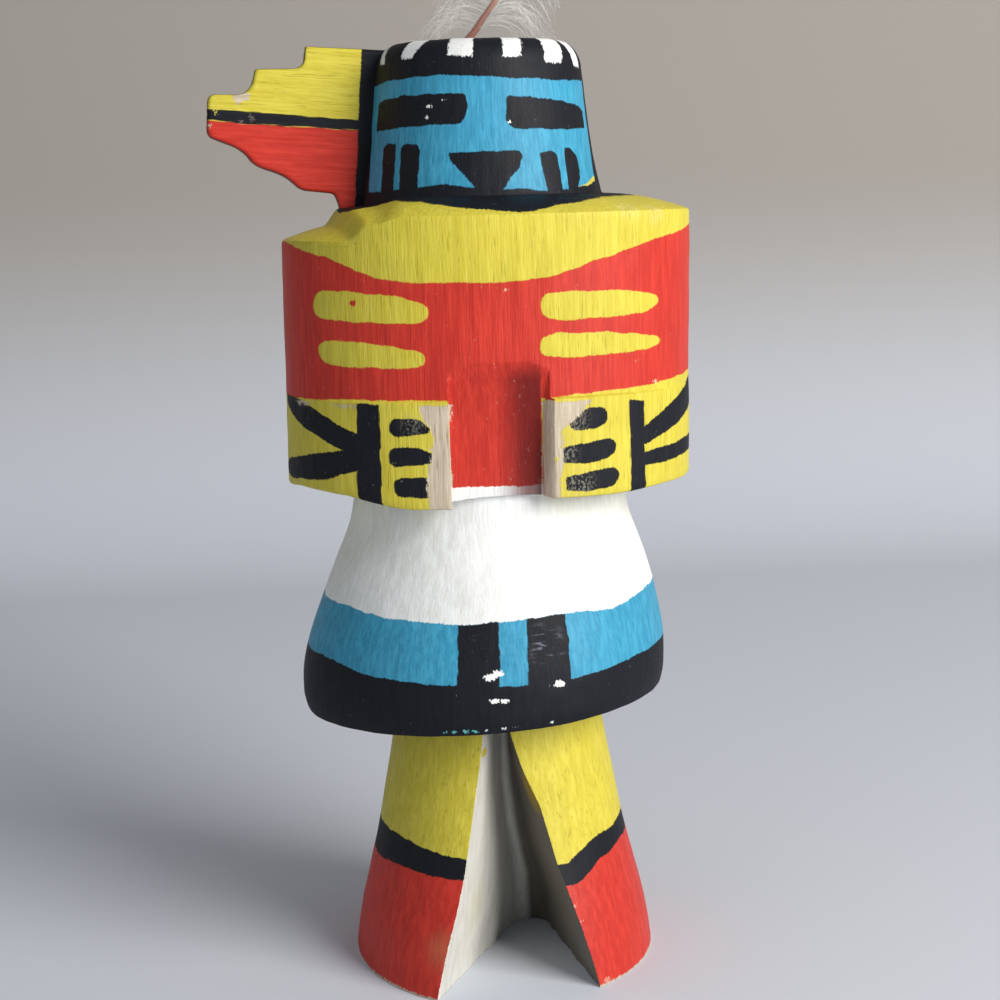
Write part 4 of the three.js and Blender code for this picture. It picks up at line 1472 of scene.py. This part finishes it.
@dataclass
class HeadWing:
    """The stepped board glued to the doll's right side of the head."""

    place: Place
    thickness: float = 3.8
    bevel: float = 0.45
    reach: float = 18.6
    back: float = 1.6
    top: float = 149.6
    turn: float = 4.0
    lift: float = 4.8
    voxel: float = 0.26
    outline: tuple[tuple[Pair, ...], ...] = (
        ((-9, -26),), ((-9, 0),), ((0, 0),), ((8.9, -0.2),), ((9, -2.1),), ((9.1, -3.7), (10.7, -3.8)),
        ((16.6, -4.3),), ((16.9, -5.86),), ((17.1, -8.1), (19.44, -8.3)), ((23.2, -8.6),),
        ((23.9, -8.9), (23.9, -10)), ((23.8, -14.4),), ((23.6, -15.3), (22.9, -15.5)), ((20.7, -16.2),),
        ((18, -17), (16.9, -18.4)), ((15.9, -19.6), (13.8, -19.9)), ((11, -20.6), (9.6, -22)),
        ((8.7, -22.9), (7.4, -22.9)), ((3.7, -23),), ((2.6, -23.2), (2.1, -26)),
    )

    BOARD_PLACE = "board_place"
    BOARD_SIDE = "board_side"

    def edge_line(self) -> np.ndarray:
        """The outline's points: straight runs, and bends given by a middle corner and an end."""
        points = [np.array(self.outline[0][0], float)]
        for step in self.outline[1:]:
            start, end = points[-1], np.array(step[-1], float)
            if len(step) == 1:
                points.append(end)
                continue
            corner = np.array(step[0], float)
            for t in np.linspace(0, 1, 9)[1:]:
                points.append(lerp(lerp(start, corner, t), lerp(corner, end, t), t))
        return finely(points, 0.6)

    def basis(self) -> np.ndarray:
        """The board's out, up and thickness directions in the doll's axes, one row each."""
        lift, turn = math.radians(self.lift), math.radians(self.turn)
        rows = []
        for x, y, z in ((-1, 0, 0), (0, 0, 1), (0, 1, 0)):
            x, z = x * math.cos(lift) + z * math.sin(lift), -x * math.sin(lift) + z * math.cos(lift)
            rows.append((x * math.cos(turn) - y * math.sin(turn), x * math.sin(turn) + y * math.cos(turn), z))
        return np.array(rows)

    def origin(self) -> np.ndarray:
        """The point that the outline is measured from, in the doll's axes."""
        ahead, aside = math.cos(math.radians(self.turn)), math.sin(math.radians(self.turn))
        x, y = -self.reach * ahead - self.back * aside, self.back * ahead - self.reach * aside
        return np.array([x, y, self.top])

    def build(self, figure: bpy.types.Object) -> bpy.types.Object:
        """Makes the board and fits its root to the figure.

        Args:
            figure: the finished figure.

        Returns:
            The board.
        """
        line = self.edge_line()
        middle = line.mean(axis=0)
        out = line - middle
        out /= np.linalg.norm(out, axis=1)[:, None]
        half = self.thickness / 2
        rings = []
        flat = half - self.bevel
        for depth, inset in ((-half, self.bevel), (-flat, 0), (flat, 0), (half, self.bevel)):
            rings.append(np.column_stack([line - inset * out, np.full(len(line), depth)]))
        points, faces = loft([ring[::-1] for ring in rings])
        made = mesh_object("painted_board", points, faces)
        made.modifiers.new("even", "REMESH").voxel_size = self.voxel
        made.modifiers["even"].mode = "VOXEL"
        apply_modifiers(made)
        mesh = made.data
        blunt(made, 3, 0.05)
        points = mesh_points(mesh)
        height = 0.10 * Grain(SEED + 6).at(points, (7, 5, 9))
        height += 0.05 * Grain(SEED + 7).at(points, (12, 0.8, 1.2))
        height += 0.04 * Grain(SEED + 8).at(points, (2.2, 1.4, 1.6))
        points += mesh_normals(mesh) * height[:, None]
        set_points(mesh, self.place.metres(self.origin() + points @ self.basis()))
        body = bpy.data.objects.new("body", figure.data.copy())
        bpy.context.scene.collection.objects.link(body)
        for item in (made, body):
            item.data.materials.clear()
            give_slots(item, 1)
        cut(made, body)
        keep_largest(made)
        mesh = made.data
        board = (self.place.millimetres(mesh_points(mesh)) - self.origin()) @ self.basis().T
        facing = np.abs(mesh_normals(mesh) @ self.basis()[2])
        store(mesh, self.BOARD_PLACE, board)
        store(mesh, self.BOARD_SIDE, spread(mesh, 1 - smooth(facing, 0.3, 0.8), 1))
        wear(made, 0.08, 0.30, 1)
        shade(made, 50)
        made.material_slots[0].material = WingPaint().material(self.place)
        return made


# ---- The plume -------------------------------------------------------------------------------


def tube(course: np.ndarray, radii: np.ndarray, sides: int) -> tuple[np.ndarray, list[list[int]]]:
    """A thin closed tube along a course.

    Args:
        course: the points along its middle.
        radii: its radius at each of them.
        sides: how many sides it has.

    Returns:
        The points and the faces.
    """
    ahead = np.gradient(course, axis=0)
    ahead /= np.linalg.norm(ahead, axis=1)[:, None]
    guide = np.array([0.0, 1, 0.13])
    across = np.cross(ahead, guide)
    across /= np.linalg.norm(across, axis=1)[:, None]
    up = np.cross(ahead, across)
    rings = []
    for turn in np.linspace(0, 2 * math.pi, sides, endpoint=False):
        rings.append(course + (math.cos(turn) * across + math.sin(turn) * up) * radii[:, None])
    points = np.stack(rings, axis=1).reshape(-1, 3)
    faces = [list(range(sides))[::-1], list(range((len(course) - 1) * sides, len(course) * sides))]
    for step in range(len(course) - 1):
        for i in range(sides):
            j = (i + 1) % sides
            faces.append([step * sides + i, step * sides + j, (step + 1) * sides + j, (step + 1) * sides + i])
    return points, faces


@dataclass
class Plume:
    """The white down feather in the crown: a horn quill, soft barbs and their fluff."""

    place: Place
    foot: Triple = (-2.2, 0.0, 150.0)
    lean: float = 40.0
    quill_radius: Pair = (0.68, 0.12)
    quill_knots: tuple[Triple, ...] = ((4.6, 0.4, 160), (5.2, 1.6, 170), (3.8, 3.2, 178.4))
    hair: Pair = (0.045, 0.012)  # a barb's radius at its root and its tip
    ribbon: float = 0.018  # half a barbule's width
    barbs: int = 240
    vane_from: float = 0.20
    ceiling: float = 179.6

    def course(self) -> np.ndarray:
        """Points along the quill's middle, in the doll's axes."""
        lean = math.radians(self.lean)
        ahead = np.array([math.sin(lean), 0, math.cos(lean)])
        start = [np.array(self.foot) + ahead * step for step in (-3.7, 0, 4)]
        return curve_through([*start, *self.quill_knots], 0.4)

    def barb(self, root: np.ndarray, share: float, side: int, rng: np.random.Generator) -> np.ndarray:
        """One barb's middle line.

        Args:
            root: where it leaves the quill.
            share: how far up the vane that is, 0 to 1.
            side: -1 for the doll's right, 1 for its left.
            rng: the source of its differences.

        Returns:
            Points along it.
        """
        length = lerp(15.0, 7.0, share) * rng.uniform(0.7, 1.05)
        t = np.linspace(0, 1, 15)[:, None]
        out = np.array([side * 1.0, rng.uniform(-0.55, 0.45), 0])
        rise = lerp(0.55, 1.5, share) * rng.uniform(0.8, 1.2)
        droop = lerp(1.25, 0.25, share) * rng.uniform(0.7, 1.2)
        upward = np.array([0, 0, 1]) * (rise * t - droop * t**2.2)
        line = root + length * (out * (t * 0.95 - 0.2 * t**3) + upward)
        wave = rng.uniform(0, 2 * math.pi, 3)
        sway = np.sin(t * rng.uniform(4, 8) + wave) * t * np.array([0.5, 0.9, 0.5])
        line = line + sway * rng.uniform(0.4, 1.2)
        line[:, 2] = np.minimum(line[:, 2], self.ceiling - 0.3 * rng.uniform())
        floor = self.foot[2] + 0.25 + 0.4 * rng.uniform()
        over_crown = np.hypot(line[:, 0], line[:, 1]) < 16.5
        line[:, 2] = np.maximum(line[:, 2], np.where(over_crown, floor, floor - 1.2))
        return line

    def fluff(self, line: np.ndarray, rng: np.random.Generator) -> tuple[np.ndarray, list[list[int]]]:
        """The barbules along a barb: narrow ribbons that stand off both of its sides."""
        ahead = np.gradient(line, axis=0)
        ahead /= np.linalg.norm(ahead, axis=1)[:, None]
        points, faces = [], []
        count = 34
        for step in range(count):
            at = 0.12 + 0.88 * (step + rng.uniform()) / count
            place = at * (len(line) - 1)
            k = min(int(place), len(line) - 2)
            root, along = lerp(line[k], line[k + 1], place - k), ahead[k]
            off = rng.normal(size=3)
            off -= along * (off @ along)
            off /= np.linalg.norm(off)
            reach = rng.uniform(0.7, 1.7) * (1 - 0.45 * at)
            mid = root + (along * 0.45 + off * 0.6) * reach
            tip = root + (along * 1.05 + off * 0.95) * reach
            tip[2], mid[2] = min(tip[2], self.ceiling + 0.2), min(mid[2], self.ceiling + 0.2)
            wide = np.cross(off, along) * self.ribbon
            base = len(points)
            points += [root - wide, root + wide, mid + wide, mid - wide, tip]
            faces += [[base, base + 1, base + 2, base + 3], [base + 3, base + 2, base + 4]]
        return np.array(points), faces

    def build(self) -> bpy.types.Object:
        """Makes the plume."""
        rng = np.random.default_rng(SEED + 9)
        course = self.course()
        stem = tube(course, np.linspace(*self.quill_radius, len(course)), 10)
        pieces, finishes = [stem], [0] * len(stem[1])
        for i in range(self.barbs):
            share = (i + rng.uniform()) / self.barbs
            share = share**1.35
            root = course[min(len(course) - 1, int(lerp(self.vane_from, 1, share) * (len(course) - 1)))]
            line = self.barb(root, share, -1 if i % 2 else 1, rng)
            hair = tube(line, np.linspace(*self.hair, len(line)), 3)
            for points, faces in (hair, self.fluff(line, rng)):
                pieces.append((points, faces))
                finishes += [1] * len(faces)
        points, faces, base = [], [], 0
        for more, its in pieces:
            points.append(more)
            faces += [[corner + base for corner in face] for face in its]
            base += len(more)
        made = mesh_object("down_plume", self.place.metres(np.vstack(points)), faces)
        made.data.polygons.foreach_set("material_index", finishes)
        shade(made, 60)
        quill = FeatherFinish("quill_horn", Tint(206, 176, 160), Tint(140, 92, 76), (150, 172), 0.42)
        down = FeatherFinish("down", Tint(238, 236, 232), Tint(206, 202, 196), (149, 154), 0.8, 0.55)
        for finish in (quill, down):
            made.data.materials.append(finish.material(self.place))
        return made


# ---- The studio ------------------------------------------------------------------------------


@dataclass
class Studio:
    """The plain floor and wall, the camera and the soft light."""

    place: Place
    stand: float = 312.0  # mm from the doll's axis to the camera
    eye: float = 126.0
    aside: float = 4.0  # degrees that the camera stands to the doll's right
    pan: float = 0.317
    pitch: float = 9.1
    roll: float = 1.5
    lens: float = 68.4

    def camera(self) -> None:
        """Sets up the camera."""
        aside = math.radians(self.aside)
        heading, pitch, roll = (math.radians(a) for a in (self.aside + self.pan, self.pitch, self.roll))
        level = math.cos(pitch)
        ahead = Vector((math.sin(heading) * level, math.cos(heading) * level, -math.sin(pitch)))
        right = Vector((math.cos(heading), -math.sin(heading), 0))
        up = right.cross(ahead)
        right, up = right * math.cos(roll) - up * math.sin(roll), right * math.sin(roll) + up * math.cos(roll)
        data = bpy.data.cameras.new("camera")
        data.lens, data.sensor_width = self.lens, 36
        data.clip_start, data.clip_end = 0.01, 20
        made = bpy.data.objects.new("camera", data)
        stand = [-self.stand * math.sin(aside), -self.stand * math.cos(aside), self.eye]
        where = Vector(self.place.metres(stand))
        made.matrix_world = Matrix.Translation(where) @ Matrix((right, up, -ahead)).transposed().to_4x4()
        bpy.context.scene.collection.objects.link(made)
        bpy.context.scene.camera = made

    def lamp(self, name: str, where: Triple, size: float, power: float, tint: Triple) -> None:
        """Hangs a soft square light that faces the doll.

        Args:
            name: the light's name.
            where: its place in metres.
            size: the length of its side in metres.
            power: its power in watts.
            tint: its colour.
        """
        data = bpy.data.lights.new(name, "AREA")
        data.size, data.energy, data.color = size, power, tint
        made = bpy.data.objects.new(name, data)
        made.location = where
        aim = Vector((0.0, 0.0, 0.09)) - Vector(where)
        made.rotation_euler = aim.to_track_quat("-Z", "Y").to_euler()
        bpy.context.scene.collection.objects.link(made)

    def backdrop(self) -> None:
        """Lays the floor, which curves up into a wall."""
        turns = np.linspace(0, math.pi / 2, 12)
        bend = [(0.30 + 0.12 * math.sin(turn), 0.12 - 0.12 * math.cos(turn)) for turn in turns]
        line = [(-0.9, 0.0), (0.0, 0.0), *bend, (0.42, 1.4)]
        points = [(x, y, z) for y, z in line for x in (-1.6, 1.6)]
        faces = [[2 * i, 2 * i + 1, 2 * i + 3, 2 * i + 2] for i in range(len(line) - 1)]
        made = mesh_object("backdrop", np.array(points), faces)
        shade(made, 60)
        tree = Tree("backdrop_card")
        where = tree.node("ShaderNodeTexCoord", {}, {}, "Object")
        height = tree.split(where)[2]
        colour = tree.mix(height.rise(0.0, 0.14), Tint(206, 211, 220), Tint(164, 158, 150))
        surface = tree.node("ShaderNodeBsdfPrincipled", {}, {"Base Color": colour, "Roughness": 0.9})
        tree.node("ShaderNodeOutputMaterial", {}, {"Surface": surface})
        made.data.materials.append(tree.material)

    def build(self) -> None:
        """Sets up all of it."""
        scene = bpy.context.scene
        scene.view_settings.view_transform = "Standard"
        world = bpy.data.worlds.new("room")
        world.use_nodes = True
        air = world.node_tree.nodes["Background"]
        air.inputs["Color"].default_value, air.inputs["Strength"].default_value = (0.88, 0.93, 1.0, 1), 0.32
        scene.world = world
        self.camera()
        self.backdrop()
        self.lamp("key", (0.55, -0.53, 0.42), 0.50, 9.4, (1.0, 0.97, 0.94))
        self.lamp("fill", (-0.8, -0.7, 0.35), 0.8, 0.9, (0.85, 0.92, 1.0))


# ---- Assembly --------------------------------------------------------------------------------


def main() -> None:
    """Builds, dresses and places each piece, and logs how many faces each has."""
    logging.basicConfig(level=logging.INFO, format="%(name)s: %(message)s")
    place = Place.of_figure(Figure.left_reach())
    figure = Figure(place).build()
    pieces = (
        (figure, "figure", "painted_figure"),
        (HeadWing(place).build(figure), "head_wing", "painted_wing"),
        (Plume(place).build(), "plume", "down"),
    )
    for piece, node, slot in pieces:
        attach(piece, "root")
        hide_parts(node)
        LOG.info("%s: %d faces, stands for %s", piece.name, len(piece.data.polygons), node)
    Studio(place).build()


if __name__ == "__main__":
    main()
